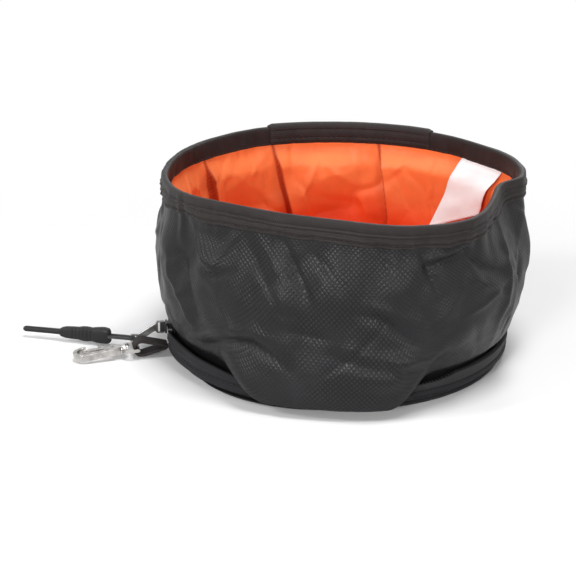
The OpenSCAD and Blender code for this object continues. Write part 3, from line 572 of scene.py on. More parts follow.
def mesh_piece(name, points, faces, corner=None, sharp=None):
    """A mesh piece from points in millimetres, smooth but for edges over a sharp angle."""
    mesh = bpy.data.meshes.new(name)
    mesh.from_pydata((np.asarray(points) * MM).tolist(), [], faces)
    if corner is not None:
        layer = mesh.uv_layers.new(name="cloth")
        layer.data.foreach_set("uv", np.asarray(corner, np.float32).ravel())
    mesh.validate()
    piece = bpy.data.objects.new(name, mesh)
    bpy.context.scene.collection.objects.link(piece)
    outward(mesh)
    mesh.polygons.foreach_set("use_smooth", [True] * len(mesh.polygons))
    if sharp is not None:
        mesh.set_sharp_from_angle(angle=math.radians(sharp))
    return piece


def outward(mesh):
    """Turns the faces of a closed mesh outwards."""
    work = bmesh.new()
    work.from_mesh(mesh)
    bmesh.ops.recalc_face_normals(work, faces=work.faces)
    work.to_mesh(mesh)
    work.free()
    mesh.update()


def skin(name, outer, inner, around, along):
    """A closed thin skin from its outer and its inner face."""
    points = np.concatenate([outer, inner[::-1]], 0)
    half, cols = outer.shape[:2]
    u = np.linspace(0, around, cols + 1) * MM
    v_out = np.linspace(0, along, half) * MM
    v = np.concatenate([v_out, v_out[::-1], [0]])
    return grid_piece(name, points, np.stack(np.meshgrid(u, v), -1), wrap_u=True, wrap_v=True)


def swept_ring(name, section, columns, place, sharp=None):
    """A closed section carried all the way round by place(row, azimuths)."""
    az = np.arange(columns) * 360 / columns
    points = np.stack([place(row, az) for row in section], 0)
    uv = section_map(section, columns, 2 * math.pi * BASE_R)
    return grid_piece(name, points, uv, wrap_u=True, wrap_v=True, sharp=sharp)


def swept_arc(name, section, from_az, to_az, step, place, sharp=None):
    """A closed section carried along a part of the way round, with closed ends."""
    columns = int(math.ceil((to_az - from_az) / step)) + 1
    az = np.linspace(from_az, to_az, columns)
    points = np.stack([place(row, az) for row in section], 0)
    uv = section_map(section, columns - 1, math.radians(to_az - from_az) * BASE_R)
    return grid_piece(name, points, uv, wrap_v=True, caps=True, sharp=sharp)


def section_map(section, columns, around):
    """Map coordinates in metres for a section carried round, one row for each of its points."""
    points = np.array(section + [section[0]], float)[:, :2]
    u = np.linspace(0, around, columns + 1) * MM
    return np.stack(np.meshgrid(u, run_along(points) * MM), -1)


def plain_place(row, az):
    """Points of a section row of (radius, height), the same all the way."""
    return at_azimuths(np.full(len(az), float(row[0])), az, row[1])


def hem_place(row, az):
    """Points of a hem section, carried by the wall under it."""
    out, up = (np.broadcast_to(np.asarray(v, float), np.shape(az)) for v in row)
    top = rim_height(az)
    z = top + up
    share = np.clip((z - FLOOR_Z) / (top - HEM_OVER_WALL - FLOOR_Z), 0, 1)
    radius, _ = wall_surface(az, share)
    low = smooth_step(*HEM_LOOSE, up)
    outside = smooth_step(*HEM_OUTSIDE, out)
    ruffle = low * noise_layer(az, up / HEM_RUFFLE_HEIGHT, HEM_RUFFLE)
    ruffle = ruffle + noise_layer(az, up / HEM_SWELL_HEIGHT, HEM_SWELL)
    drop = low * noise_layer(az, 0 * az, HEM_DROP)
    return at_azimuths(radius + out + ruffle * outside, az, z + drop * outside)


# discs: points round them, and how the wave of their surface runs
DISC_COLUMNS = 288
DISC_WAVE = (14, 0.2, 41)
DISC_WAVE_STEP = 0.07
DISC_WAVE_FULL = 40


def turned(name, section, wave=0.0):
    """A turned piece from (radius, height) pairs; wave is how uneven its surface is."""
    az = np.arange(DISC_COLUMNS) * 360 / DISC_COLUMNS
    rows = []
    for k, (radius, z) in enumerate(section):
        uneven = wave * lattice_noise(az, 0 * az + k * DISC_WAVE_STEP, *DISC_WAVE)
        calm = min(1, radius / DISC_WAVE_FULL)
        rows.append(at_azimuths(np.full(len(az), float(radius)), az, z + uneven * calm))
    points = np.stack(rows, 0)
    flat = np.concatenate([points, points[:, :1]], 1)[..., :2]
    unit = flat / np.linalg.norm(flat, axis=-1, keepdims=True)
    uv = unit * run_along(section)[:, None, None] * MM
    return grid_piece(name, points, uv, wrap_u=True, caps=True)


def repeat_shape(name, points, faces, frames, sharp=None):
    """One mesh piece with the same small shape at each 4x4 frame."""
    points = np.asarray(points, float)
    all_faces = [
        [v + k * len(points) for v in face] for k in range(len(frames)) for face in faces
    ]
    all_points = np.concatenate([placed(points, matrix) for matrix in frames])
    return mesh_piece(name, all_points, all_faces, sharp=sharp)


# faces within this angle in radians count as one
FLAT_ANGLE = 0.02


def chamfered_block(size, cut):
    """A block about the origin with its edges cut."""
    x, y, z = (v / 2 for v in size)
    points = []
    for sx in (-1, 1):
        for sy in (-1, 1):
            for sz in (-1, 1):
                points.append((sx * x, sy * (y - cut), sz * (z - cut)))
                points.append((sx * (x - cut), sy * y, sz * (z - cut)))
                points.append((sx * (x - cut), sy * (y - cut), sz * z))
    work = bmesh.new()
    bmesh.ops.convex_hull(work, input=[work.verts.new(p) for p in points])
    work.normal_update()
    bmesh.ops.dissolve_limit(work, angle_limit=FLAT_ANGLE, verts=work.verts, edges=work.edges)
    work.verts.index_update()
    found = [tuple(v.co) for v in work.verts]
    faces = [[v.index for v in f.verts] for f in work.faces]
    work.free()
    return found, faces


# a stitch: rings at shares of its length, and how high they stand by the thread's radius
STITCH_RINGS = [(-0.5, -0.7), (-0.4, 0.1), (-0.2, 0.5), (0.2, 0.5), (0.4, 0.1), (0.5, -0.7)]
STITCH_SIDES = 6
STITCH_END = 0.55
STITCH_GAP = 0.7
STITCH_AIM = 0.5


def stitch_shape(length, radius):
    """One thread of a seam: it dips into the cloth at both ends. X runs along it."""
    points = []
    last = len(STITCH_RINGS) - 1
    for r, (x, up) in enumerate(STITCH_RINGS):
        size = radius * (STITCH_END if r in (0, last) else 1)
        for k in range(STITCH_SIDES):
            angle = 2 * math.pi * k / STITCH_SIDES
            across = size * math.cos(angle)
            points.append((x * length, across, up * radius + size * math.sin(angle)))
    faces = []
    for r in range(last):
        low, high = r * STITCH_SIDES, (r + 1) * STITCH_SIDES
        for k in range(STITCH_SIDES):
            k2 = (k + 1) % STITCH_SIDES
            faces.append([low + k, low + k2, high + k2, high + k])
    faces.append(list(range(STITCH_SIDES)))
    faces.append([last * STITCH_SIDES + k for k in range(STITCH_SIDES)])
    return points, faces


def frame_matrix(origin, along, out):
    """A frame with X along a path and Z away from the cloth."""
    along = along / np.linalg.norm(along)
    out = out - along * (out @ along)
    out = out / np.linalg.norm(out)
    matrix = np.eye(4)
    matrix[:3] = np.stack([along, np.cross(out, along), out, origin], -1)
    return matrix


def seam(name, path, outs, radius, closed=False):
    """A row of stitches along a path; outs are the directions away from the cloth."""
    length = trim().stitch_length / MM
    if closed:
        path = np.concatenate([path, path[:1]])
        outs = np.concatenate([outs, outs[:1]])
    run = run_along(path)
    count = max(1, int(run[-1] / (length + STITCH_GAP)))
    places = (np.arange(count) + 0.5) * run[-1] / count

    def at(distance, rows):
        return np.stack([np.interp(distance, run, rows[:, k]) for k in range(3)], -1)

    ahead = at(np.minimum(places + STITCH_AIM, run[-1]), path)
    along = ahead - at(np.maximum(places - STITCH_AIM, 0), path)
    origins = at(places, path)
    out = at(places, outs)
    frames = [frame_matrix(origins[k], along[k], out[k]) for k in range(count)]
    points, faces = stitch_shape(length, radius)
    return repeat_shape(name, points, faces, frames)


# any direction that a tube never runs along
TUBE_SLANT = (0.3, 0.2, 1)


def tube(name, path, radius, sides):
    """A round tube along an open path."""
    path = np.asarray(path, float)
    tangent = np.gradient(path, axis=0)
    tangent /= np.linalg.norm(tangent, axis=1)[:, None]
    normal = np.cross(tangent[0], TUBE_SLANT)
    normals = []
    for t in tangent:
        normal = normal - t * (normal @ t)
        normal = normal / np.linalg.norm(normal)
        normals.append(normal)
    normals = np.array(normals)
    across = np.cross(tangent, normals)
    angle = (np.arange(sides) * 2 * math.pi / sides)[:, None, None]
    points = path[None] + radius * (np.cos(angle) * normals + np.sin(angle) * across)
    v = np.linspace(0, 2 * math.pi * radius, sides + 1)
    uv = np.stack(np.meshgrid(run_along(path), v), -1) * MM
    return grid_piece(name, points, uv, wrap_v=True, caps=True)


def local_frame(azimuth, radius, z, pitch=0.0, yaw=0.0):
    """Matrix of a frame whose X points outwards, as the solids are placed."""
    matrix = (
        Matrix.Rotation(math.radians(azimuth), 4, "Z")
        @ Matrix.Translation((radius, 0, z))
        @ Matrix.Rotation(math.radians(yaw), 4, "Z")
        @ Matrix.Rotation(math.radians(pitch), 4, "Y")
    )
    return np.array(matrix)


def placed(points, matrix):
    """Points moved by a 4x4 matrix, whatever the shape of their array."""
    points = np.asarray(points, float)
    return points @ matrix[:3, :3].T + matrix[:3, 3]


# Materials


# how fast the fine detail of every noise fades
NOISE_ROUGHNESS = 0.55


class Finish:
    """A material whose nodes are added one after another."""

    def __init__(self, name, colour, roughness, metallic=0.0, sheen=0.0, specular=0.5):
        self.material = bpy.data.materials.new(name)
        self.material.use_nodes = True
        self.tree = self.material.node_tree
        self.shader = self.tree.nodes["Principled BSDF"]
        self.colour = (*colour, 1.0)
        for socket, value in (
            ("Base Color", self.colour), ("Roughness", roughness), ("Metallic", metallic),
            ("Sheen Weight", sheen), ("Specular IOR Level", specular),
        ):
            self.shader.inputs[socket].default_value = value

    def node(self, kind, **settings):
        """Adds a node of a kind with its settings."""
        node = self.tree.nodes.new(kind)
        for key, value in settings.items():
            setattr(node, key, value)
        return node

    def put(self, socket, value):
        """Links a socket to another one, or gives it a plain value."""
        if isinstance(value, bpy.types.NodeSocket):
            self.tree.links.new(value, socket)
        else:
            socket.default_value = value

    def math(self, operation, a, b=0.0, clamp=False):
        """Works out a number from two sockets or plain numbers."""
        node = self.node("ShaderNodeMath", operation=operation, use_clamp=clamp)
        self.put(node.inputs[0], a)
        self.put(node.inputs[1], b)
        return node.outputs[0]

    def add(self, a, b, clamp=False):
        return self.math("ADD", a, b, clamp)

    def less(self, a, b):
        return self.math("SUBTRACT", a, b)

    def times(self, a, b, clamp=False):
        return self.math("MULTIPLY", a, b, clamp)

    def cloth_axes(self, turn=0.0):
        """The map's two directions in metres, turned by an angle in degrees."""
        where = self.node("ShaderNodeUVMap", uv_map="cloth").outputs[0]
        turned_map = self.node("ShaderNodeMapping")
        turned_map.inputs["Rotation"].default_value[2] = math.radians(turn)
        self.put(turned_map.inputs["Vector"], where)
        parts = self.node("ShaderNodeSeparateXYZ")
        self.put(parts.inputs[0], turned_map.outputs[0])
        return parts.outputs[0], parts.outputs[1]

    def noise(self, size, detail):
        """Noise with cells of a size in metres, fixed to the piece."""
        node = self.node("ShaderNodeTexNoise")
        node.inputs["Scale"].default_value = 1 / size
        node.inputs["Detail"].default_value = detail
        node.inputs["Roughness"].default_value = NOISE_ROUGHNESS
        self.put(node.inputs["Vector"], self.node("ShaderNodeTexCoord").outputs["Object"])
        return node.outputs[0]

    def wave(self, axis, pitch):
        """A sine along one direction, from 0 to 1 and back over one pitch."""
        sine = self.math("SINE", self.times(axis, 2 * math.pi / pitch))
        return self.add(self.times(sine, 0.5), 0.5)

    def stored(self, name):
        """A number stored at the points of the mesh, 0 where it isn't stored."""
        return self.node("ShaderNodeAttribute", attribute_name=name).outputs["Fac"]

    def mix(self, factor, first, second, blend="MIX"):
        """Mixes two colours, sockets or four numbers each, into the shader's base colour."""
        node = self.node("ShaderNodeMix", data_type="RGBA", blend_type=blend)
        self.put(node.inputs["Factor"], factor)
        colours = [socket for socket in node.inputs if socket.type == "RGBA"]
        self.put(colours[0], first)
        self.put(colours[1], second)
        out = [socket for socket in node.outputs if socket.type == "RGBA"][0]
        self.put(self.shader.inputs["Base Color"], out)
        return out

    def tint(self, factor, low, high):
        """Colour from factor 0 to 1 between two brightness shares of the base colour."""
        dark, light = (
            (*(min(1.0, c * share) for c in self.colour[:3]), 1.0) for share in (low, high)
        )
        return self.mix(factor, dark, light)

    def darken(self, colour, factor, shares):
        """Multiplies a colour by three shares as far as the factor goes."""
        return self.mix(factor, colour, (*shares, 1.0), "MULTIPLY")

    def rough(self, factor, low, high):
        """Roughness from low to high as the factor goes from 0 to 1."""
        spread = self.times(factor, high - low)
        self.put(self.shader.inputs["Roughness"], self.add(spread, low, clamp=True))

    def bump(self, height, distance, strength):
        """Fine relief from a height, in shares of a distance in metres."""
        node = self.node("ShaderNodeBump")
        node.inputs["Distance"].default_value = distance
        node.inputs["Strength"].default_value = strength
        self.put(node.inputs["Height"], height)
        self.put(self.shader.inputs["Normal"], node.outputs[0])


def ripstop_finish(colour):
    """Coated fabric with a diagonal grid that shows in patches."""
    pitch, patch_size, cloud_size, fine_size = 0.0017, 0.03, 0.012, 0.006
    patch_from, patch_gain, grid_level = 0.4, 5.0, 0.5
    cloud_share, grid_share, least_shade, shine_share = 0.45, 1.3, 0.15, 0.3
    cell_rise, fine_rise = 0.6, 1.3
    finish = Finish("ripstop", colour, 0.5, specular=0.21)
    lines = [
        finish.math("ABSOLUTE", finish.math("SINE", finish.times(axis, math.pi / pitch)))
        for axis in finish.cloth_axes(45)
    ]
    cell = finish.math("MINIMUM", *lines)
    patch = finish.noise(patch_size, 2.0)
    cloud = finish.noise(cloud_size, 4.0)
    strength = finish.times(finish.less(patch, patch_from), patch_gain, clamp=True)
    grid = finish.times(finish.less(cell, grid_level), strength)
    shade = finish.add(finish.times(cloud, cloud_share), finish.times(grid, grid_share))
    finish.tint(finish.add(shade, least_shade, clamp=True), 0.4, 1.95)
    finish.rough(finish.less(cloud, finish.times(grid, shine_share)), 0.3, 0.5)
    fine = finish.times(finish.noise(fine_size, 4.0), fine_rise)
    finish.bump(finish.add(finish.times(cell, cell_rise), fine), 0.00022, 0.9)
    return finish.material


def lining_finish(colour):
    """Satin lining, with painted shade that makes it deeper in colour low in the bowl and painted
    shadow that makes it darker along its tucks.
    """
    across, along, cloud_size, fine_size = 0.0005, 0.0007, 0.03, 0.007
    low_shade_shares, tuck_shadow_shares = (1.0, 0.42, 0.3), (0.42, 0.2, 0.2)
    weave_rise, fine_rise = 0.08, 1.6
    finish = Finish("satin_lining", colour, 0.42, sheen=0.06, specular=0.25)
    finish.shader.inputs["Sheen Roughness"].default_value = 0.35
    u, v = finish.cloth_axes()
    weave = finish.times(finish.wave(u, across), finish.wave(v, along))
    cloud = finish.noise(cloud_size, 4.0)
    cloth = finish.tint(cloud, 0.86, 1.14)
    # painted shade low in the bowl, then painted shadow along the tucks
    low_shaded = finish.darken(cloth, finish.stored("depth"), low_shade_shares)
    finish.darken(low_shaded, finish.stored("tuck"), tuck_shadow_shares)
    finish.rough(cloud, 0.34, 0.55)
    fine = finish.times(finish.noise(fine_size, 5.0), fine_rise)
    finish.bump(finish.add(finish.times(weave, weave_rise), fine), 0.0004, 0.8)
    return finish.material


def tape_finish(name, colour, pitch=0.0011, rough=(0.5, 0.78)):
    """Woven tape: fine ribs across, with a fleck from the yarn."""
    slant, rib_share, cloud_size = 0.6, 0.8, 0.004
    cloud_share, twill_share = 0.6, 0.35
    twill_rise, rib_rise, cloud_rise = 0.6, 0.4, 0.8
    finish = Finish(name, colour, sum(rough) / 2, specular=0.17)
    u, v = finish.cloth_axes()
    twill = finish.wave(finish.add(u, finish.times(v, slant)), pitch)
    ribs = finish.wave(v, pitch * rib_share)
    cloud = finish.noise(cloud_size, 4.0)
    fleck = finish.times(cloud, cloud_share)
    finish.tint(finish.add(fleck, finish.times(twill, twill_share), clamp=True), 0.45, 1.9)
    finish.rough(cloud, *rough)
    height = finish.add(finish.times(twill, twill_rise), finish.times(ribs, rib_rise))
    finish.bump(finish.add(height, finish.times(cloud, cloud_rise)), 0.00016, 0.9)
    return finish.material


def plain_weave_finish(name, colour, rough=(0.5, 0.75)):
    """Plain woven cloth, a little cloudy."""
    pitch, cloud_size = 0.0009, 0.012
    cloud_share, weave_share, cloud_rise = 0.7, 0.3, 1.5
    finish = Finish(name, colour, sum(rough) / 2, specular=0.12)
    u, v = finish.cloth_axes()
    weave = finish.times(finish.wave(u, pitch), finish.wave(v, pitch))
    cloud = finish.noise(cloud_size, 4.0)
    shade = finish.add(finish.times(cloud, cloud_share), finish.times(weave, weave_share))
    finish.tint(shade, 0.7, 1.45)
    finish.rough(cloud, *rough)
    finish.bump(finish.add(weave, finish.times(cloud, cloud_rise)), 0.00014, 0.9)
    return finish.material


def moulded_finish(name, colour, rough=(0.35, 0.6)):
    """Moulded or painted plastic with a fine grain."""
    grain_size, cloud_size = 0.0012, 0.01
    finish = Finish(name, colour, sum(rough) / 2, specular=0.25)
    grain = finish.noise(grain_size, 5.0)
    finish.tint(finish.noise(cloud_size, 3.0), 0.75, 1.3)
    finish.rough(grain, *rough)
    finish.bump(grain, 0.00006, 0.8)
    return finish.material


def plated_finish(name, colour, rough=(0.12, 0.32)):
    """Plated metal, its roughness clouded by handling, with painted reflections mottled into its
    colour.
    """
    cloud_size, painted_reflection_size, grain_size = 0.0035, 0.0035, 0.0012
    finish = Finish(name, colour, sum(rough) / 2, metallic=1.0)
    # painted reflection: noise makes the colour darker and lighter in blotches, in place of what
    # the metal mirrors
    finish.tint(finish.noise(painted_reflection_size, 3.0), 0.15, 1.5)
    finish.rough(finish.noise(cloud_size, 4.0), *rough)
    finish.bump(finish.noise(grain_size, 3.0), 0.00003, 0.6)
    return finish.material


def label_finish(colour):
    """Smooth white label tape."""
    across, along, cloud_size, weave_rise = 0.0005, 0.0004, 0.01, 0.3
    finish = Finish("label_tape", colour, 0.5, sheen=0.2, specular=0.4)
    u, v = finish.cloth_axes()
    weave = finish.times(finish.wave(u, across), finish.wave(v, along))
    cloud = finish.noise(cloud_size, 3.0)
    finish.tint(cloud, 0.93, 1.05)
    finish.rough(cloud, 0.4, 0.6)
    finish.bump(finish.add(finish.times(weave, weave_rise), cloud), 0.0001, 0.7)
    return finish.material


def cord_finish(colour):
    """Braided cord: two sets of yarns that cross."""
    pitch = 0.0012
    finish = Finish("braided_cord", colour, 0.6, sheen=0.2, specular=0.4)
    u, v = finish.cloth_axes()
    one = finish.wave(finish.add(u, v), pitch)
    other = finish.wave(finish.less(u, v), pitch)
    braid = finish.math("MAXIMUM", one, other)
    finish.tint(braid, 0.6, 1.5)
    finish.rough(braid, 0.45, 0.7)
    finish.bump(braid, 0.00018, 0.9)
    return finish.material


def board_finish(colour):
    """Pressed board with short fibres."""
    fibre_size = 0.002
    finish = Finish("pressed_board", colour, 0.8)
    fibre = finish.noise(fibre_size, 6.0)
    finish.tint(fibre, 0.75, 1.15)
    finish.rough(fibre, 0.7, 0.9)
    finish.bump(fibre, 0.0001, 0.6)
    return finish.material


FINISHES = {}


def dress(piece, material, body, slot, *nodes):
    """Gives a piece its material, the body that it rides on, if one, and the solids it replaces."""
    piece.data.materials.clear()
    piece.data.materials.append(FINISHES[material])
    if body:
        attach(piece, body)
    if nodes:
        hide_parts(*nodes)
    return piece


def press_with_rim(piece):
    """Bakes a piece of cloth's placement into its points; nothing folds it when the rim is pressed
    down.
    """
    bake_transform(piece)


# solids: points this close in metres are one, and which angles in degrees are flat or an edge
WELD_REACH = 0.00001
LEAST_ANGLE = 1
EDGE_ANGLE = 35


def dress_solid(node, material, bevel=None):
    """Gives a solid that stays a better material, and eases its edges by a bevel."""
    solid = CAD[node]
    if not solid.material_slots:
        solid.data.materials.append(FINISHES[material])
    for place in solid.material_slots:
        place.material = FINISHES[material]
    if bevel is None:
        return
    weld = solid.modifiers.new("weld", "WELD")
    weld.merge_threshold = WELD_REACH
    flat = solid.modifiers.new("flat", "DECIMATE")
    flat.decimate_type = "DISSOLVE"
    flat.angle_limit = math.radians(LEAST_ANGLE)
    edge = solid.modifiers.new("edge", "BEVEL")
    edge.width = bevel * MM
    edge.segments = 2
    edge.limit_method = "ANGLE"
    edge.angle_limit = math.radians(EDGE_ANGLE)
    edge.harden_normals = False


# Settings that a user may change


def colour_setting(name, description, default):
    """A colour that a user may change."""
    return bpy.props.FloatVectorProperty(
        name=name, description=description, subtype="COLOR", default=default, min=0, max=1
    )


def length_setting(name, description, default, least, most):
    """A length in metres that a user may change."""
    return bpy.props.FloatProperty(
        name=name, description=description, default=default, min=least, max=most, unit="LENGTH"
    )


class BowlFabric(bpy.types.PropertyGroup):
    """Colours and thicknesses of the bowl's cloth"""

    outer: colour_setting(
        "Outer fabric", "Colour of the outer fabric", (0.0092, 0.0086, 0.0098)
    )
    lining: colour_setting(
        "Lining", "Colour of the lining and the floor", (0.85, 0.198, 0.058)
    )
    binding: colour_setting(
        "Binding", "Colour of the hem and the webbing", (0.0165, 0.0132, 0.0129)
    )
    wall_thickness: length_setting(
        "Outer fabric thickness", "Thickness of the outer fabric", 0.0007, 0.0003, 0.0012
    )
    lining_thickness: length_setting(
        "Lining thickness", "Thickness of the lining", 0.0004, 0.0002, 0.001
    )


class BowlTrim(bpy.types.PropertyGroup):
    """Colours and lengths of the zip, the hook and the seams"""

    tape: colour_setting("Zip tape", "Colour of the zip tapes", (0.02, 0.02, 0.021))
    metal: colour_setting("Plated metal", "Colour of the hook and its eye", (0.56, 0.54, 0.52))
    tooth_pitch: length_setting(
        "Tooth pitch", "Distance from one tooth to the next", 0.002, 0.0015, 0.004
    )
    stitch_length: length_setting(
        "Stitch length", "Length of a stitch in the seams", 0.0026, 0.0015, 0.005
    )


class BowlStage(bpy.types.PropertyGroup):
    """The floor and the camera"""

    floor: colour_setting("Floor", "Colour of the floor", (0.9, 0.9, 0.9))
    distance: length_setting(
        "Camera distance", "Distance from the camera to the bowl's middle", 0.708, 0.4, 3
    )
    elevation: bpy.props.FloatProperty(
        name="Camera elevation", description="Height angle of the camera",
        default=math.radians(19.05), min=0, max=1.5, subtype="ANGLE",
    )


def fabric():
    """The settings of the cloth."""
    return bpy.context.scene.bowl_fabric


def trim():
    """The settings of the zip, the hook and the seams."""
    return bpy.context.scene.bowl_trim


# colours that follow from a setting are it times a share, and the rest are set here
WEBBING_SHARE = 1.15
COVER_SHARE = 1.6
THREAD_SHARE = 1.6
TEETH_COLOUR = (0.02, 0.02, 0.021)
SLIDER_COLOUR = (0.022, 0.022, 0.023)
GRIP_COLOUR = (0.011, 0.011, 0.0118)
CORD_COLOUR = (0.012, 0.012, 0.012)
STEEL_COLOUR = (0.3, 0.295, 0.29)
LABEL_COLOUR = (0.86, 0.93, 0.94)
BOARD_COLOUR = (0.5, 0.42, 0.3)


def scaled(colour, *shares):
    """A colour with its parts times one share, or times three."""
    return [c * s for c, s in zip(colour, shares * 3)]


class BOWL_OT_add_finishes(bpy.types.Operator):
    """Makes the bowl's cloths, tapes, plastics and metals"""

    bl_idname = "bowl.add_finishes"
    bl_label = "Finishes"

    def execute(self, context):
        cloth = fabric()
        parts = trim()
        FINISHES.update(
            ripstop=ripstop_finish(cloth.outer),
            lining=lining_finish(cloth.lining),
            # the floor's colour is deepened as painted shade low in the bowl
            floor=lining_finish(scaled(cloth.lining, *FLOOR_SHADE_SHARES)),
            binding=tape_finish("binding_tape", cloth.binding, rough=(0.38, 0.6)),
            webbing=tape_finish("webbing", scaled(cloth.binding, WEBBING_SHARE), 0.0016),
            cover=plain_weave_finish("cover_cloth", scaled(cloth.outer, COVER_SHARE)),
            zip_tape=tape_finish("zip_tape", parts.tape, 0.0009),
            thread=tape_finish("thread", scaled(cloth.binding, THREAD_SHARE), 0.0005, (0.4, 0.6)),
            teeth=moulded_finish("zip_teeth", TEETH_COLOUR),
            slider=moulded_finish("painted_slider", SLIDER_COLOUR, (0.25, 0.45)),
            grip=moulded_finish("soft_grip", GRIP_COLOUR, (0.35, 0.6)),
            cord=cord_finish(CORD_COLOUR),
            bright=plated_finish("bright_plating", parts.metal),
            dull=plated_finish("plain_steel", STEEL_COLOUR, (0.25, 0.45)),
            label=label_finish(LABEL_COLOUR),
            board=board_finish(BOARD_COLOUR),
        )
        return {"FINISHED"}


# lengths of the two cloths' maps round and up the wall, in millimetres
WALL_MAP = (2 * math.pi * 98, 112)
LINING_MAP = (2 * math.pi * 94, 100)
# the shares of the wall's height between which the lining runs
LINING_SHARES = (0.004, 0.985)


def sheet_grid(columns, first=0, last=1):
    """Azimuths and height shares of a grid of points all round the wall."""
    az = np.arange(columns) * 360 / columns
    return np.meshgrid(az, np.linspace(first, last, WALL_ROWS))


class BOWL_OT_add_wall(bpy.types.Operator):
    """Adds the outer fabric and the lining of the wall"""

    bl_idname = "bowl.add_wall"
    bl_label = "Wall"

    def execute(self, context):
        a, s = sheet_grid(WALL_COLUMNS)
        radius, height = wall_surface(a, s)
        outer = at_azimuths(radius, a, height)
        around = np.roll(outer, -1, 1) - np.roll(outer, 1, 1)
        normal = np.cross(around, np.gradient(outer, axis=0))
        normal /= np.linalg.norm(normal, axis=-1, keepdims=True)
        inner = outer - normal * fabric().wall_thickness / MM
        wall = skin("wall_fabric", outer, inner, *WALL_MAP)
        dress(wall, "ripstop", None, "ripstop_charcoal", "wall_outer")
        press_with_rim(wall)

        a, s = sheet_grid(LINING_COLUMNS, *LINING_SHARES)
        radius, height = lining_surface(a, s)
        inner = at_azimuths(radius, a, height)
        outer = at_azimuths(radius + fabric().lining_thickness / MM, a, height)
        lining = skin("wall_lining_cloth", outer, inner, *LINING_MAP)
        # paints shadow along the tucks and shade low in the lining
        paint_lining_shade(lining)
        dress(lining, "lining", None, "lining_orange", "wall_lining")
        press_with_rim(lining)
        return {"FINISHED"}


# the webbing thins towards the hem over this many degrees at its ends
WEBBING_END = 1.6
WEBBING_LEAST = 0.3
WEBBING_CORE = (-2.5, 1.4)
WEBBING_CORE_TOP = 0.1
# seams: degrees from one point of their path to the next, and the radius of their thread
SEAM_STEP = 0.6
RIM_THREAD = 0.26
# seams of the rim: where on the section, the side that they show on, and whether they go all round
RIM_SEAMS = [
    ("hem_seam_outer", (0.72, -9.45), 1, True),
    ("hem_seam_inner", (-2.3, -9.8), -1, True),
    ("webbing_seam_low", (2.62, -8.3), 1, False),
    ("webbing_seam_high", (2.58, -1.9), 1, False),
    ("webbing_seam_inside", (-3.76, -7.2), -1, False),
]


def webbing_place(row, az):
    """Points of the webbing's section, drawn in towards the hem at its ends."""
    end = np.minimum(az - WEBBING_FROM, WEBBING_TO - az)
    full = WEBBING_LEAST + (1 - WEBBING_LEAST) * smooth_step(0, WEBBING_END, end)
    radius = np.clip(row[0], *WEBBING_CORE)
    top = min(row[1], WEBBING_CORE_TOP)
    return hem_place((radius + (row[0] - radius) * full, top + (row[1] - top) * full), az)


class BOWL_OT_add_rim(bpy.types.Operator):
    """Adds the hem, its webbing at the back and their seams"""

    bl_idname = "bowl.add_rim"
    bl_label = "Rim"

    def execute(self, context):
        hem = swept_ring("hem_binding", HEM_SECTION, HEM_COLUMNS, hem_place)
        dress(hem, "binding", "rim", "binding_black", "rim_hem")
        webbing = swept_arc(
            "rim_webbing_strap", WEBBING_SECTION, WEBBING_FROM, WEBBING_TO, SEAM_STEP,
            webbing_place, sharp=50,
        )
        dress(webbing, "webbing", "rim", "binding_black", "rim_webbing")
        around = np.arange(0, 360, SEAM_STEP)
        back = np.arange(WEBBING_FROM + 1, WEBBING_TO - 1, SEAM_STEP)
        for name, row, side, closed in RIM_SEAMS:
            places = around if closed else back
            path = hem_place(row, places)
            stitches = seam(name, path, side * outwards(places), RIM_THREAD, closed)
            dress(stitches, "thread", "rim", "binding_black")
        return {"FINISHED"}


# half sections of turned pieces: radius and height
COVER_SECTION = [
    (0.5, BASE_Z), (30, BASE_Z), (60, BASE_Z), (84, BASE_Z), (90.4, 4.85), (91.8, 5.1),
    (92.5, 5.6), (92.85, 6.3), (92.9, 7.1), (92.75, 7.8), (92.5, 8.3), (92.2, 8.5),
    (91.9, 8.3), (91.4, 7.6), (90.2, 7.3), (88.2, 7.2), (87.5, 7.15),
]
FLOOR_SECTION = [
    (0.5, FLOOR_TOP), (20, FLOOR_TOP), (40, FLOOR_TOP), (60, FLOOR_TOP), (76, FLOOR_TOP),
    (82, 7.58), (84.4, 7.5), (84.9, 7.3), (84.6, 7.05),
]
FLOOR_WAVE = 0.12
LID_SECTION = [
    (0.5, 0.12), (20, 0.12), (40, 0.08), (60, 0.04), (76, 0.0), (84, 0.0), (87.6, 0.06),
    (88.8, 0.3), (89.6, 0.8), (89.95, 1.5), (89.8, 2.1), (89.3, 2.5), (88.4, LID_TOP),
    (80, LID_TOP), (60, LID_TOP), (40, LID_TOP), (20, LID_TOP), (0.5, LID_TOP),
]
# the spine's section, how far it flares outwards and how far its lip stands up, by azimuth
SPINE_SECTION = [
    (92.98, 5.2), (93.5, 5.0), (94.1, 5.7), (94.3, 6.8), (94.1, 7.8), (93.5, 8.4),
    (93.1, 8.75), (93.5, 9.1), (94.1, 9.6), (94.35, 10.4), (94.25, 11.2), (94.0, 11.5),
    (94.2, 11.9), (94.1, 12.4), (93.6, 12.85), (92.8, 12.95), (92.0, 12.7),
    (91.7, 12.0), (91.5, 10.5), (91.4, 9.0), (91.9, 8.75), (92.6, 8.7), (92.98, 8.2),
]
spine_flare = round_table([
    (196, 0.2), (206, 0.6), (213, 0.6), (224, 1.8), (234, 2.6), (242, 2.4), (250, 0.8),
    (260, 0.2), (294, 0.0), (340, 0.0),
])
spine_rise = round_table([
    (196, 0.4), (201, 2.4), (206, 3.2), (213, 3.4), (224, 3.2), (233, 2.8), (239, 1.6),
    (245, -0.8), (251, -2.6), (284, -2.6), (292, -0.6), (340, 0.0),
])
SPINE_FROM = SPINE_AZ - SPINE_SPAN / 2
SPINE_TO = SPINE_AZ + SPINE_SPAN / 2
SPINE_STEP = 0.5
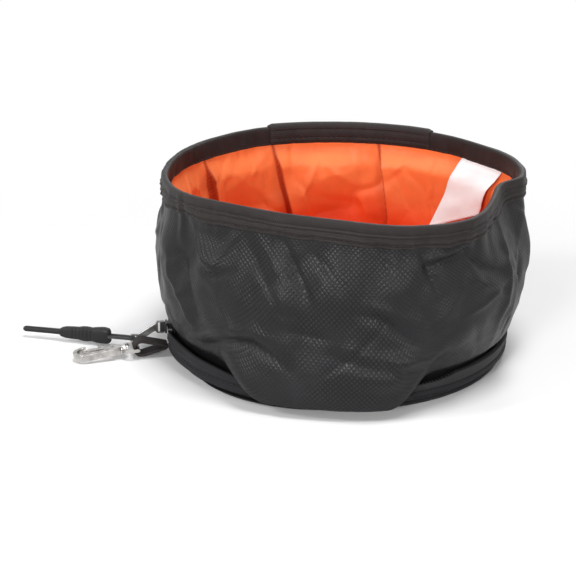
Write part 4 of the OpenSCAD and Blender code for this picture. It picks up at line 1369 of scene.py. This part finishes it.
SPINE_LIP = (8.9, 12.4)
SPINE_FLARE_LOW = 0.35
SPINE_UNEVEN = (0.22, 5, 0.2, 51)
SPINE_UNEVEN_HEIGHT = 60
SPINE_GROOVE = (93.4, 8.75)
SPINE_THREAD = 0.24


def spine_place(row, az):
    """Points of the spine's section: its lip flares and stands up by azimuth."""
    lip = smooth_step(*SPINE_LIP, np.array(row[1]))
    flare = spine_flare(az) * (SPINE_FLARE_LOW + (1 - SPINE_FLARE_LOW) * lip)
    uneven = noise_layer(az, 0 * az + row[1] / SPINE_UNEVEN_HEIGHT, SPINE_UNEVEN)
    return at_azimuths(row[0] + flare + uneven, az, row[1] + spine_rise(az) * lip)


class BOWL_OT_add_base(bpy.types.Operator):
    """Adds the fabric of the base, its floor and its spine"""

    bl_idname = "bowl.add_base"
    bl_label = "Base"

    def execute(self, context):
        cover = turned("base_cloth", COVER_SECTION)
        dress(cover, "cover", "base", "cover_black", "base_cover")
        floor = turned("floor_cloth", FLOOR_SECTION, FLOOR_WAVE)
        dress(floor, "floor", "base", "floor_coating", "base_floor")
        dress_solid("base_board", "board")
        spine = swept_arc(
            "spine_cloth", SPINE_SECTION, SPINE_FROM, SPINE_TO, SPINE_STEP, spine_place
        )
        dress(spine, "cover", "base", "cover_black", "spine_tape")
        places = np.arange(SPINE_FROM + 1, SPINE_TO - 1, SEAM_STEP)
        groove = spine_place(SPINE_GROOVE, places)
        stitches = seam("spine_seam", groove, outwards(places), SPINE_THREAD)
        dress(stitches, "thread", "base", "cover_black")
        return {"FINISHED"}


# section of the base's zip tape: radius and height
ZIP_SECTION = [
    (91.35, 7.1), (92.1, 7.1), (92.2, 8.6), (92.5, 9.2), (92.75, 9.5), (92.85, 9.9),
    (92.98, 10.5), (93.08, 11.4), (93.22, 12.2), (93.16, 12.5), (92.98, 12.45),
    (92.9, 11.6), (92.86, 10.95), (91.75, 10.95), (91.2, 10.85), (91.1, 10.5),
    (91.35, 10.2), (91.3, 9.4), (91.35, 8.4),
]
ZIP_STEP = 0.75
ZIP_EDGE = (8.4, 10.4)
# on the right the zip is slack, and its edge stands above its solid
ZIP_RISE = 1.7
ZIP_RISE_FROM = (302, 312)
ZIP_RISE_TO = (340, 351)
# teeth: width across the zip, length as a share of their pitch, height and cut edge
TOOTH_SHARE = 0.58
TOOTH_SHARP = 30
BASE_TOOTH = (2.2, 2.0, 0.28)
LID_TOOTH = (2.0, 1.75, 0.25)
FIRST_TOOTH = 2.2
PAST_SLIDER = 3.4


def zip_wave(az):
    """How far the zip's edge stands above its solid."""
    az = az % 360
    return ZIP_RISE * smooth_step(*ZIP_RISE_FROM, az) * (1 - smooth_step(*ZIP_RISE_TO, az))


def tape_place(row, az):
    """Points of the zip tape's section, lifted with its edge."""
    edge = smooth_step(*ZIP_EDGE, np.array(row[1]))
    return at_azimuths(np.full(len(az), float(row[0])), az, row[1] + edge * zip_wave(az))


def tooth_row(name, body, node, size, frames):
    """The teeth of one half of the zip."""
    across, tall, cut = size
    length = trim().tooth_pitch / MM * TOOTH_SHARE
    points, faces = chamfered_block((across, length, tall), cut)
    teeth = repeat_shape(name, points, faces, frames, sharp=TOOTH_SHARP)
    dress(teeth, "teeth", body, "zip_black", node)


class BOWL_OT_add_zip(bpy.types.Operator):
    """Adds the zip tape and the teeth of the base, and dresses the stops and the slider"""

    bl_idname = "bowl.add_zip"
    bl_label = "Zip"

    def execute(self, context):
        end = SPINE_FROM + 360
        tape = swept_arc("zip_tape_cloth", ZIP_SECTION, SPINE_TO, end, ZIP_STEP, tape_place)
        dress(tape, "zip_tape", "base", "zip_black", "zip_tape")
        first = SPINE_TO + FIRST_TOOTH
        last = 360 + SLIDER_AZ + PAST_SLIDER
        count = int(math.radians(last - first) * TAPE_R * MM / trim().tooth_pitch)
        middle = (TAPE_TOP + TEETH_TOP) / 2
        frames = [
            local_frame(az, TAPE_R, middle + float(zip_wave(az)))
            for az in np.linspace(first, last, count)
        ]
        tooth_row("zip_teeth_row", "base", "zip_teeth", BASE_TOOTH, frames)
        dress_solid("zip_stop_open", "dull", 0.25)
        dress_solid("zip_stop_closed", "dull", 0.25)
        dress_solid("zip_slider", "slider", 0.3)
        dress_solid("pull_tab", "dull", 0.25)
        return {"FINISHED"}


# section of the lid's zip tape: radius and height
LID_TAPE_SECTION = [
    (81.9, 2.64), (89.3, 2.64), (89.4, 3.0), (89.1, 3.35), (88.2, 3.45), (87.4, 3.25),
    (86.6, 3.45), (84, 3.48), (82.4, 3.45), (81.9, 3.2),
]
LID_TAPE_PAST_SLIDER = 4
LID_TEETH_MIDDLE = 3.475
# the flap that joins the lid to the spine: its section, and the root that it narrows to
FLAP_SECTION = [
    (89.6, 1.0), (91.6, 0.98), (92.5, 1.1), (92.7, 1.3), (92.5, 1.5), (91.6, 1.62),
    (89.6, 1.6),
]
FLAP_ROOT = (89.6, 1.3)
FLAP_HALF = SPINE_SPAN / 4
FLAP_FULLNESS = 0.6
FLAP_LEAST = 0.4


def flap_place(row, az):
    """Points of the flap's section, fading towards both ends."""
    turn = np.clip((az - SPINE_AZ) / FLAP_HALF, -1, 1) * math.pi / 2
    reach = np.cos(turn) ** FLAP_FULLNESS
    root, middle = FLAP_ROOT
    height = middle + (row[1] - middle) * (FLAP_LEAST + (1 - FLAP_LEAST) * reach)
    return at_azimuths(root + (row[0] - root) * reach, az, height)


class BOWL_OT_add_lid(bpy.types.Operator):
    """Adds the fabric, the zip and the spine flap of the lid folded under the base"""

    bl_idname = "bowl.add_lid"
    bl_label = "Lid"

    def execute(self, context):
        cover = turned("lid_cloth", LID_SECTION)
        dress(cover, "cover", "lid", "cover_black", "lid_cover")
        dress_solid("lid_board", "board")
        end = 360 + SLIDER_AZ + LID_TAPE_PAST_SLIDER
        tape = swept_arc("lid_zip_cloth", LID_TAPE_SECTION, SPINE_TO, end, ZIP_STEP, plain_place)
        dress(tape, "zip_tape", "lid", "zip_black", "lid_zip_tape")
        count = int(math.radians(end - SPINE_TO) * LID_TEETH_R * MM / trim().tooth_pitch)
        step = (end - SPINE_TO) / count
        frames = [
            local_frame(SPINE_TO + (k + 0.5) * step, LID_TEETH_R, LID_TEETH_MIDDLE)
            for k in range(count)
        ]
        tooth_row("lid_teeth_row", "lid", "lid_zip_teeth", LID_TOOTH, frames)
        first, last = SPINE_AZ - FLAP_HALF, SPINE_AZ + FLAP_HALF
        flap = swept_arc("lid_flap_cloth", FLAP_SECTION, first, last, ZIP_STEP, flap_place)
        dress(flap, "cover", "lid", "cover_black", "lid_spine_flap")
        return {"FINISHED"}


# the label: its grid, size in millimetres, and how it hangs away from the lining below the hem
LABEL_GRID = (28, 18)
LABEL_SIZE = (27, 42)
LABEL_THICK = 0.25
LABEL_WINDOW = 7
LABEL_BELOW_HEM = (-11.0, -14.5)
LABEL_CLEAR = (0.3, 0.7)
LABEL_SWING = 4.6
LABEL_CURL = 1.6
LABEL_WAVES = (0.7, 2.6, 0.5, 3)


def label_radius(u, v, a, z):
    """Radius of the label: along the lining's innermost folds, and free of them lower down."""
    share = (z - FLOOR_Z) / (rim_height(a) - HEM_OVER_WALL - FLOOR_Z)
    lining, _ = lining_surface(a, share)
    cols = u.shape[1]
    reach = LABEL_WINDOW - 1
    beside = np.pad(lining, ((0, 0), (reach, reach)), mode="edge")
    least = np.min([beside[:, k:k + cols + reach] for k in range(LABEL_WINDOW)], axis=0)
    calm = np.mean([least[:, k:k + cols] for k in range(LABEL_WINDOW)], axis=0)
    below = smooth_step(*LABEL_BELOW_HEM, z - rim_height(a))
    high, waves, low, swells = LABEL_WAVES
    wavy = high * np.sin(waves * np.pi * u + 1) * v + low * np.sin(swells * np.pi * v + 2 * u)
    hang = LABEL_CLEAR[0] + LABEL_CLEAR[1] * below
    hang = hang + (LABEL_SWING * v ** LABEL_CURL + wavy) * below
    return np.where(below > 0, calm * below + lining * (1 - below), lining) - hang


class BOWL_OT_add_label(bpy.types.Operator):
    """Adds the blank care label that hangs inside the rim"""

    bl_idname = "bowl.add_label"
    bl_label = "Label"

    def execute(self, context):
        rows, cols = LABEL_GRID
        width, length = LABEL_SIZE
        u, v = np.meshgrid(np.linspace(0, 1, cols), np.linspace(0, 1, rows))
        corners = np.array(LABEL_CORNERS, float)[:, :, None, None]
        top = corners[0] * (1 - u) + corners[1] * u
        bottom = corners[3] * (1 - u) + corners[2] * u
        a, z = top * (1 - v) + bottom * v
        radius = label_radius(u, v, a, z)
        inner = at_azimuths(radius, a, z)
        outer = at_azimuths(radius + LABEL_THICK, a, z)
        points = np.concatenate([outer, inner[::-1]], 0)
        run = np.concatenate([v[:, 0], v[::-1, 0], [0]]) * length * MM
        uv = np.stack(np.meshgrid(np.linspace(0, width, cols) * MM, run), -1)
        label = grid_piece("blank_label", points, uv, wrap_v=True, caps=True)
        dress(label, "label", None, "label_white", "care_label")
        press_with_rim(label)
        return {"FINISHED"}


# the pull, in the frame of its solid: azimuth, radius, height, pitch and yaw
PULL_FRAME = (SLIDER_AZ, 112.85, 5.9, 1, -20)
CORD_STRAIGHT = 12.6
CORD_BEND = 1.6
CORD_RADIUS = 0.8
CORD_SIDES = 14
CORD_STEPS = 16
CORD_BEND_STEPS = 25
GRIP_START = 12
GRIP_LENGTH = 29.5
GRIP_HEIGHT = 9.2
TAIL_LENGTH = 21.5
TAIL_RADIUS = 1.6
TAIL_BLEND = (-1.2, 0.8)
TAIL_END = (0.35, 1)
# the grip by share of its length: half its height as a share of the height, and half its
# thickness
GRIP_OUTLINE = [
    (0, 0.38), (0.03, 0.46), (0.1, 0.5), (0.16, 0.5), (0.27, 0.46), (0.36, 0.41), (0.46, 0.45),
    (0.54, 0.44), (0.62, 0.38), (0.76, 0.37), (0.88, 0.34), (0.96, 0.27), (1, 0.2),
]
GRIP_HALF_THICKNESS = [(0, 1.6), (0.03, 2.2), (0.1, 2.5), (1, 2.05)]
# points round the grip, along it and along its tail, and the tail's first one past the grip
GRIP_SIDES = 40
GRIP_STEPS = 90
TAIL_STEPS = 26
TAIL_START = 0.4
GRIP_MAP = 24
# the grip's corners are squarer than the tail's, by the power of its round
GRIP_SQUARE = 0.55
RIB_COUNT = 6
RIB_START = 0.34
RIB_PITCH = 2.2
RIB_HALF = 0.5
RIB_DEPTH = 0.45
RIB_REACH = 0.62


def grip_surface():
    """Points of the grip and its tail in their own frame, and the places along them."""
    end = GRIP_LENGTH + TAIL_LENGTH
    x = np.concatenate([
        np.linspace(0, GRIP_LENGTH, GRIP_STEPS),
        np.linspace(GRIP_LENGTH + TAIL_START, end, TAIL_STEPS),
    ])
    share = x / GRIP_LENGTH
    half_h, half_t = (
        np.interp(share, [r[0] for r in rows], [r[1] for r in rows])
        for rows in (GRIP_OUTLINE, GRIP_HALF_THICKNESS)
    )
    ribs = np.zeros(len(x))
    for k in range(RIB_COUNT):
        centre = GRIP_LENGTH * RIB_START + RIB_PITCH / 4 + k * RIB_PITCH
        ribs = np.maximum(ribs, np.exp(-(((x - centre) / RIB_HALF) ** 4)))
    tail = smooth_step(GRIP_LENGTH + TAIL_BLEND[0], GRIP_LENGTH + TAIL_BLEND[1], x)
    tip = np.clip(end - x, *TAIL_END) ** 0.5
    half_h = half_h * GRIP_HEIGHT * (1 - tail) + TAIL_RADIUS * tail * tip
    half_t = half_t * (1 - tail) + TAIL_RADIUS * tail * tip
    angle = (np.arange(GRIP_SIDES) * 2 * math.pi / GRIP_SIDES)[:, None]
    across, up = np.cos(angle), np.sin(angle)
    power = GRIP_SQUARE * (1 - tail) + tail
    ribbed = RIB_DEPTH * ribs * (np.abs(up) < RIB_REACH)
    y = np.sign(across) * np.abs(across) ** power * (half_t - ribbed)
    z = np.sign(up) * np.abs(up) ** power * half_h
    return np.stack([np.broadcast_to(x + GRIP_START, y.shape), y, z], -1), x


class BOWL_OT_add_pull(bpy.types.Operator):
    """Adds the cord and the moulded grip of the zip pull"""

    bl_idname = "bowl.add_pull"
    bl_label = "Pull"

    def execute(self, context):
        matrix = local_frame(*PULL_FRAME)
        straight = np.linspace(0, CORD_STRAIGHT, CORD_STEPS)
        turn = np.radians(np.linspace(90, 270, CORD_BEND_STEPS))
        path = [(x, CORD_BEND, 0) for x in straight[::-1]]
        path += [(CORD_BEND * math.cos(t), CORD_BEND * math.sin(t), 0) for t in turn[1:]]
        path += [(x, -CORD_BEND, 0) for x in straight[1:]]
        cord = tube("pull_cord_loop", placed(path, matrix), CORD_RADIUS, CORD_SIDES)
        dress(cord, "cord", "pull", "cord_black", "pull_cord")
        local, along = grip_surface()
        around = np.linspace(0, GRIP_MAP, GRIP_SIDES + 1)
        uv = np.stack(np.meshgrid(along, around), -1) * MM
        grip = grid_piece("moulded_grip", placed(local, matrix), uv, wrap_v=True, caps=True)
        dress(grip, "grip", "pull", "grip_black", "pull_grip")
        return {"FINISHED"}


# the hang loop, in the frame of its solid: azimuth, radius and height
LOOP_FRAME = (STRAP_AZ, 95.2, 5.55)
LOOP_REACH = 12.6
LOOP_BEND = 4.6
LOOP_ROOT = 1.5
LOOP_THICK = 1.5
LOOP_WIDTH = 8.0
LOOP_STEP = 0.8
LOOP_BEND_STEPS = 33
LOOP_ROOT_STEPS = 13
# at its root the webbing is pressed thin
LOOP_THIN = 0.75
LOOP_FULL = 1.48
LOOP_TAPER = (1.0, 3.0)
LOOP_CORNER = 0.25
LOOP_EDGE = 1.2
LOOP_CHAMFER = 0.35
# the webbing's outer face has fine grooves, and its inner face is slightly hollow
LOOP_GROOVE = 0.06
LOOP_HOLLOW = 0.05
LOOP_MAP_END = 18


def loop_path():
    """The loop seen from its side: a bend round the eye, and straight legs to its root."""
    slope = math.asin((LOOP_BEND - LOOP_THICK) / LOOP_REACH)
    outer = [
        (LOOP_REACH + LOOP_BEND * math.cos(t), LOOP_BEND * math.sin(t))
        for t in np.linspace(-math.pi / 2 - slope, math.pi / 2 + slope, LOOP_BEND_STEPS)
    ]
    outer += [
        (LOOP_ROOT * math.cos(t), LOOP_ROOT * math.sin(t))
        for t in np.linspace(
            math.pi / 2 + slope, 3 * math.pi / 2 - slope, LOOP_ROOT_STEPS
        )[1:-1]
    ]
    dense = []
    for (x0, z0), (x1, z1) in zip(outer, outer[1:] + outer[:1]):
        steps = max(1, int(math.hypot(x1 - x0, z1 - z0) / LOOP_STEP))
        for i in range(steps):
            dense.append((x0 + (x1 - x0) * i / steps, z0 + (z1 - z0) * i / steps))
    return np.array(dense)


def loop_section():
    """The webbing's section: places across it, and depths from its outer face."""
    half, thick = LOOP_WIDTH / 2, LOOP_THICK
    corner, edge, cut = half - LOOP_CORNER, half - LOOP_EDGE, LOOP_CHAMFER
    outer = [(-corner, 0.0), (-edge, 0.0)]
    outer += [(y, LOOP_GROOVE * (y % 2 == 0)) for y in (-2.0, -1.0, 0, 1.0, 2.0)]
    outer += [(edge, 0.0), (corner, 0.0), (half, cut), (half, thick - cut)]
    inner = [(corner, thick), (edge, thick), (0, thick - LOOP_HOLLOW), (-edge, thick)]
    return outer + inner + [(-corner, thick), (-half, thick - cut), (-half, cut)]


class BOWL_OT_add_hook(bpy.types.Operator):
    """Adds the hang loop and dresses the swivel hook"""

    bl_idname = "bowl.add_hook"
    bl_label = "Hook"

    def execute(self, context):
        path = loop_path()
        section = loop_section()
        tangent = np.roll(path, -1, 0) - np.roll(path, 1, 0)
        tangent /= np.linalg.norm(tangent, axis=1)[:, None]
        inward = np.stack([-tangent[:, 1], tangent[:, 0]], -1)
        start, length = LOOP_TAPER
        taper = np.clip((path[:, 0] - start) / length, 0, 1)
        most = LOOP_THIN + (LOOP_FULL - LOOP_THIN) * taper
        rows = []
        for y, depth in section:
            place = path + inward * np.minimum(depth, most)[:, None]
            rows.append(np.stack([place[:, 0], np.full(len(path), y), place[:, 1]], -1))
        points = placed(np.stack(rows, 0), local_frame(*LOOP_FRAME))
        run = run_along(path)
        along = np.append(run, run[-1] + LOOP_STEP)
        uv = np.stack(np.meshgrid(along, np.append(run_along(section), LOOP_MAP_END)), -1) * MM
        loop = grid_piece("hang_loop_webbing", points, uv, wrap_u=True, wrap_v=True, sharp=60)
        dress(loop, "webbing", "loop", "cover_black", "hang_loop")
        dress_solid("swivel_eye", "bright", 0.45)
        dress_solid("hook_body", "bright", 0.5)
        dress_solid("hook_gate", "bright", 0.3)
        dress_solid("gate_pin", "dull", 0.15)
        dress_solid("gate_spring", "dull")
        return {"FINISHED"}


# the stage in metres: half the floor's side, its gap below the bowl, and where it turns white
FLOOR_HALF = 2.5
FLOOR_GAP = 0.0002
WHITE_FROM = 0.14
WHITE_TO = 0.36
WORLD_LEVEL = 0.22
# lamps: name, place, width and power; all of them aim at a point above the floor's middle
LAMPS = [
    ("key", (-0.5, -1.3, 0.42), 0.3, 11.0),
    ("left", (-1.2, -0.45, 0.85), 0.3, 7.2),
    ("top", (0.15, -0.25, 1.5), 0.5, 13.5),
    ("fill", (0.7, -1.15, 0.45), 0.3, 6.0),
    ("back", (0.35, 1.2, 0.8), 0.4, 4.0),
]
LAMP_AIM = Vector((0, 0, 0.05))
# the camera as solved from the photo, in pixels and degrees; it aims at a point on the axis
IMAGE_SIDE = 576
FOCAL_LENGTH = 1303
IMAGE_CENTRE = (338.6, 259.6)
CAMERA_ROLL = 1.07
CAMERA_AIM = Vector((0, 0, 0.048))
SENSOR = 36
CLIP_FROM = 0.05
CLIP_TO = 20


def far_white(paper):
    """The floor turns to plain white well away from the bowl, as seen by the camera."""
    tree = paper.tree
    length = paper.node("ShaderNodeVectorMath", operation="LENGTH")
    paper.put(length.inputs[0], paper.node("ShaderNodeTexCoord").outputs["Object"])
    away = paper.node("ShaderNodeMapRange", interpolation_type="SMOOTHSTEP")
    away.inputs["From Min"].default_value = WHITE_FROM
    away.inputs["From Max"].default_value = WHITE_TO
    paper.put(away.inputs["Value"], length.outputs["Value"])
    rays = paper.node("ShaderNodeLightPath")
    seen = paper.math("MAXIMUM", rays.outputs["Is Camera Ray"], rays.outputs["Is Glossy Ray"])
    white = paper.node("ShaderNodeEmission")
    white.inputs["Strength"].default_value = 1.0
    mix = paper.node("ShaderNodeMixShader")
    paper.put(mix.inputs[0], paper.times(away.outputs[0], seen))
    tree.links.new(paper.shader.outputs[0], mix.inputs[1])
    tree.links.new(white.outputs[0], mix.inputs[2])
    tree.links.new(mix.outputs[0], tree.nodes["Material Output"].inputs["Surface"])


def add_floor(colour):
    """A wide pale floor just below the bowl."""
    paper = Finish("paper_floor", colour, 0.85, specular=0.2)
    paper.tint(paper.noise(0.05, 3.0), 0.985, 1.0)
    far_white(paper)
    mesh = bpy.data.meshes.new("floor")
    corners = [(x * FLOOR_HALF, y * FLOOR_HALF, 0) for x, y in ((-1, -1), (1, -1), (1, 1), (-1, 1))]
    mesh.from_pydata(corners, [], [(0, 1, 2, 3)])
    mesh.materials.append(paper.material)
    floor = bpy.data.objects.new("floor", mesh)
    floor.location.z = -FLOOR_GAP
    bpy.context.scene.collection.objects.link(floor)


def add_lamp(name, place, width, power):
    """A square lamp that aims at the bowl."""
    lamp = bpy.data.lights.new(name, "AREA")
    lamp.size = width
    lamp.energy = power
    holder = bpy.data.objects.new(name, lamp)
    holder.location = place
    direction = LAMP_AIM - Vector(place)
    holder.rotation_euler = direction.to_track_quat("-Z", "Y").to_euler()
    bpy.context.scene.collection.objects.link(holder)


def add_camera(distance, elevation):
    """The camera where the photo's was."""
    data = bpy.data.cameras.new("camera")
    camera = bpy.data.objects.new("camera", data)
    bpy.context.scene.collection.objects.link(camera)
    data.sensor_width = SENSOR
    data.lens = SENSOR * FOCAL_LENGTH / IMAGE_SIDE
    data.shift_x = -(IMAGE_CENTRE[0] - IMAGE_SIDE / 2) / IMAGE_SIDE
    data.shift_y = (IMAGE_CENTRE[1] - IMAGE_SIDE / 2) / IMAGE_SIDE
    data.clip_start = CLIP_FROM
    data.clip_end = CLIP_TO
    back = Vector((0, -math.cos(elevation), math.sin(elevation)))
    camera.location = CAMERA_AIM + back * distance
    facing = (-back).to_track_quat("-Z", "Y").to_matrix()
    roll = Matrix.Rotation(math.radians(CAMERA_ROLL), 3, "Z")
    camera.rotation_euler = (facing @ roll).to_euler()
    bpy.context.scene.camera = camera


def white_world(tree, strength):
    """Even light from all round; the camera and glossy pieces see plain white."""
    rays = tree.nodes.new("ShaderNodeLightPath")
    seen = None
    for name in ("Is Camera Ray", "Is Glossy Ray", "Is Transmission Ray"):
        if seen is None:
            seen = rays.outputs[name]
            continue
        join = tree.nodes.new("ShaderNodeMath")
        join.operation = "MAXIMUM"
        tree.links.new(seen, join.inputs[0])
        tree.links.new(rays.outputs[name], join.inputs[1])
        seen = join.outputs[0]
    level = tree.nodes.new("ShaderNodeMapRange")
    level.inputs["To Min"].default_value = strength
    level.inputs["To Max"].default_value = 1.0
    tree.links.new(seen, level.inputs["Value"])
    sky = tree.nodes["Background"]
    sky.inputs["Color"].default_value = (1, 1, 1, 1)
    tree.links.new(level.outputs[0], sky.inputs["Strength"])


class BOWL_OT_add_stage(bpy.types.Operator):
    """Adds the floor, the soft lights and the camera"""

    bl_idname = "bowl.add_stage"
    bl_label = "Stage"

    def execute(self, context):
        scene = context.scene
        settings = scene.bowl_stage
        scene.view_settings.view_transform = "Standard"
        add_floor(settings.floor)
        scene.world = bpy.data.worlds.new("studio")
        scene.world.use_nodes = True
        white_world(scene.world.node_tree, WORLD_LEVEL)
        for lamp in LAMPS:
            add_lamp(*lamp)
        add_camera(settings.distance, settings.elevation)
        return {"FINISHED"}


class BOWL_PT_panel(bpy.types.Panel):
    """The bowl's settings and the buttons that build it"""

    bl_label = "Bowl"
    bl_idname = "BOWL_PT_panel"
    bl_space_type = "VIEW_3D"
    bl_region_type = "UI"
    bl_category = "Bowl"

    def draw(self, context):
        layout = self.layout
        for group in GROUPS:
            settings = getattr(context.scene, group)
            box = layout.box()
            for name in type(settings).__annotations__:
                box.prop(settings, name)
        for operator in OPERATORS:
            layout.operator(operator.bl_idname)


OPERATORS = [
    BOWL_OT_add_stage, BOWL_OT_add_finishes, BOWL_OT_add_wall, BOWL_OT_add_rim,
    BOWL_OT_add_base, BOWL_OT_add_zip, BOWL_OT_add_lid, BOWL_OT_add_label,
    BOWL_OT_add_pull, BOWL_OT_add_hook,
]
GROUPS = {"bowl_fabric": BowlFabric, "bowl_trim": BowlTrim, "bowl_stage": BowlStage}


def register():
    """Registers the classes and gives the scene its settings."""
    for kind in (*GROUPS.values(), *OPERATORS, BOWL_PT_panel):
        bpy.utils.register_class(kind)
    for name, group in GROUPS.items():
        setattr(bpy.types.Scene, name, bpy.props.PointerProperty(type=group))


def unregister():
    """Takes back what register did."""
    for name in GROUPS:
        delattr(bpy.types.Scene, name)
    for kind in (BOWL_PT_panel, *reversed(OPERATORS), *reversed(GROUPS.values())):
        bpy.utils.unregister_class(kind)


def main():
    """Builds the whole scene."""
    register()
    bpy.ops.bowl.add_stage()
    bpy.ops.bowl.add_finishes()
    bpy.ops.bowl.add_wall()
    bpy.ops.bowl.add_rim()
    bpy.ops.bowl.add_base()
    bpy.ops.bowl.add_zip()
    bpy.ops.bowl.add_lid()
    bpy.ops.bowl.add_label()
    bpy.ops.bowl.add_pull()
    bpy.ops.bowl.add_hook()


if __name__ == "__main__":
    main()
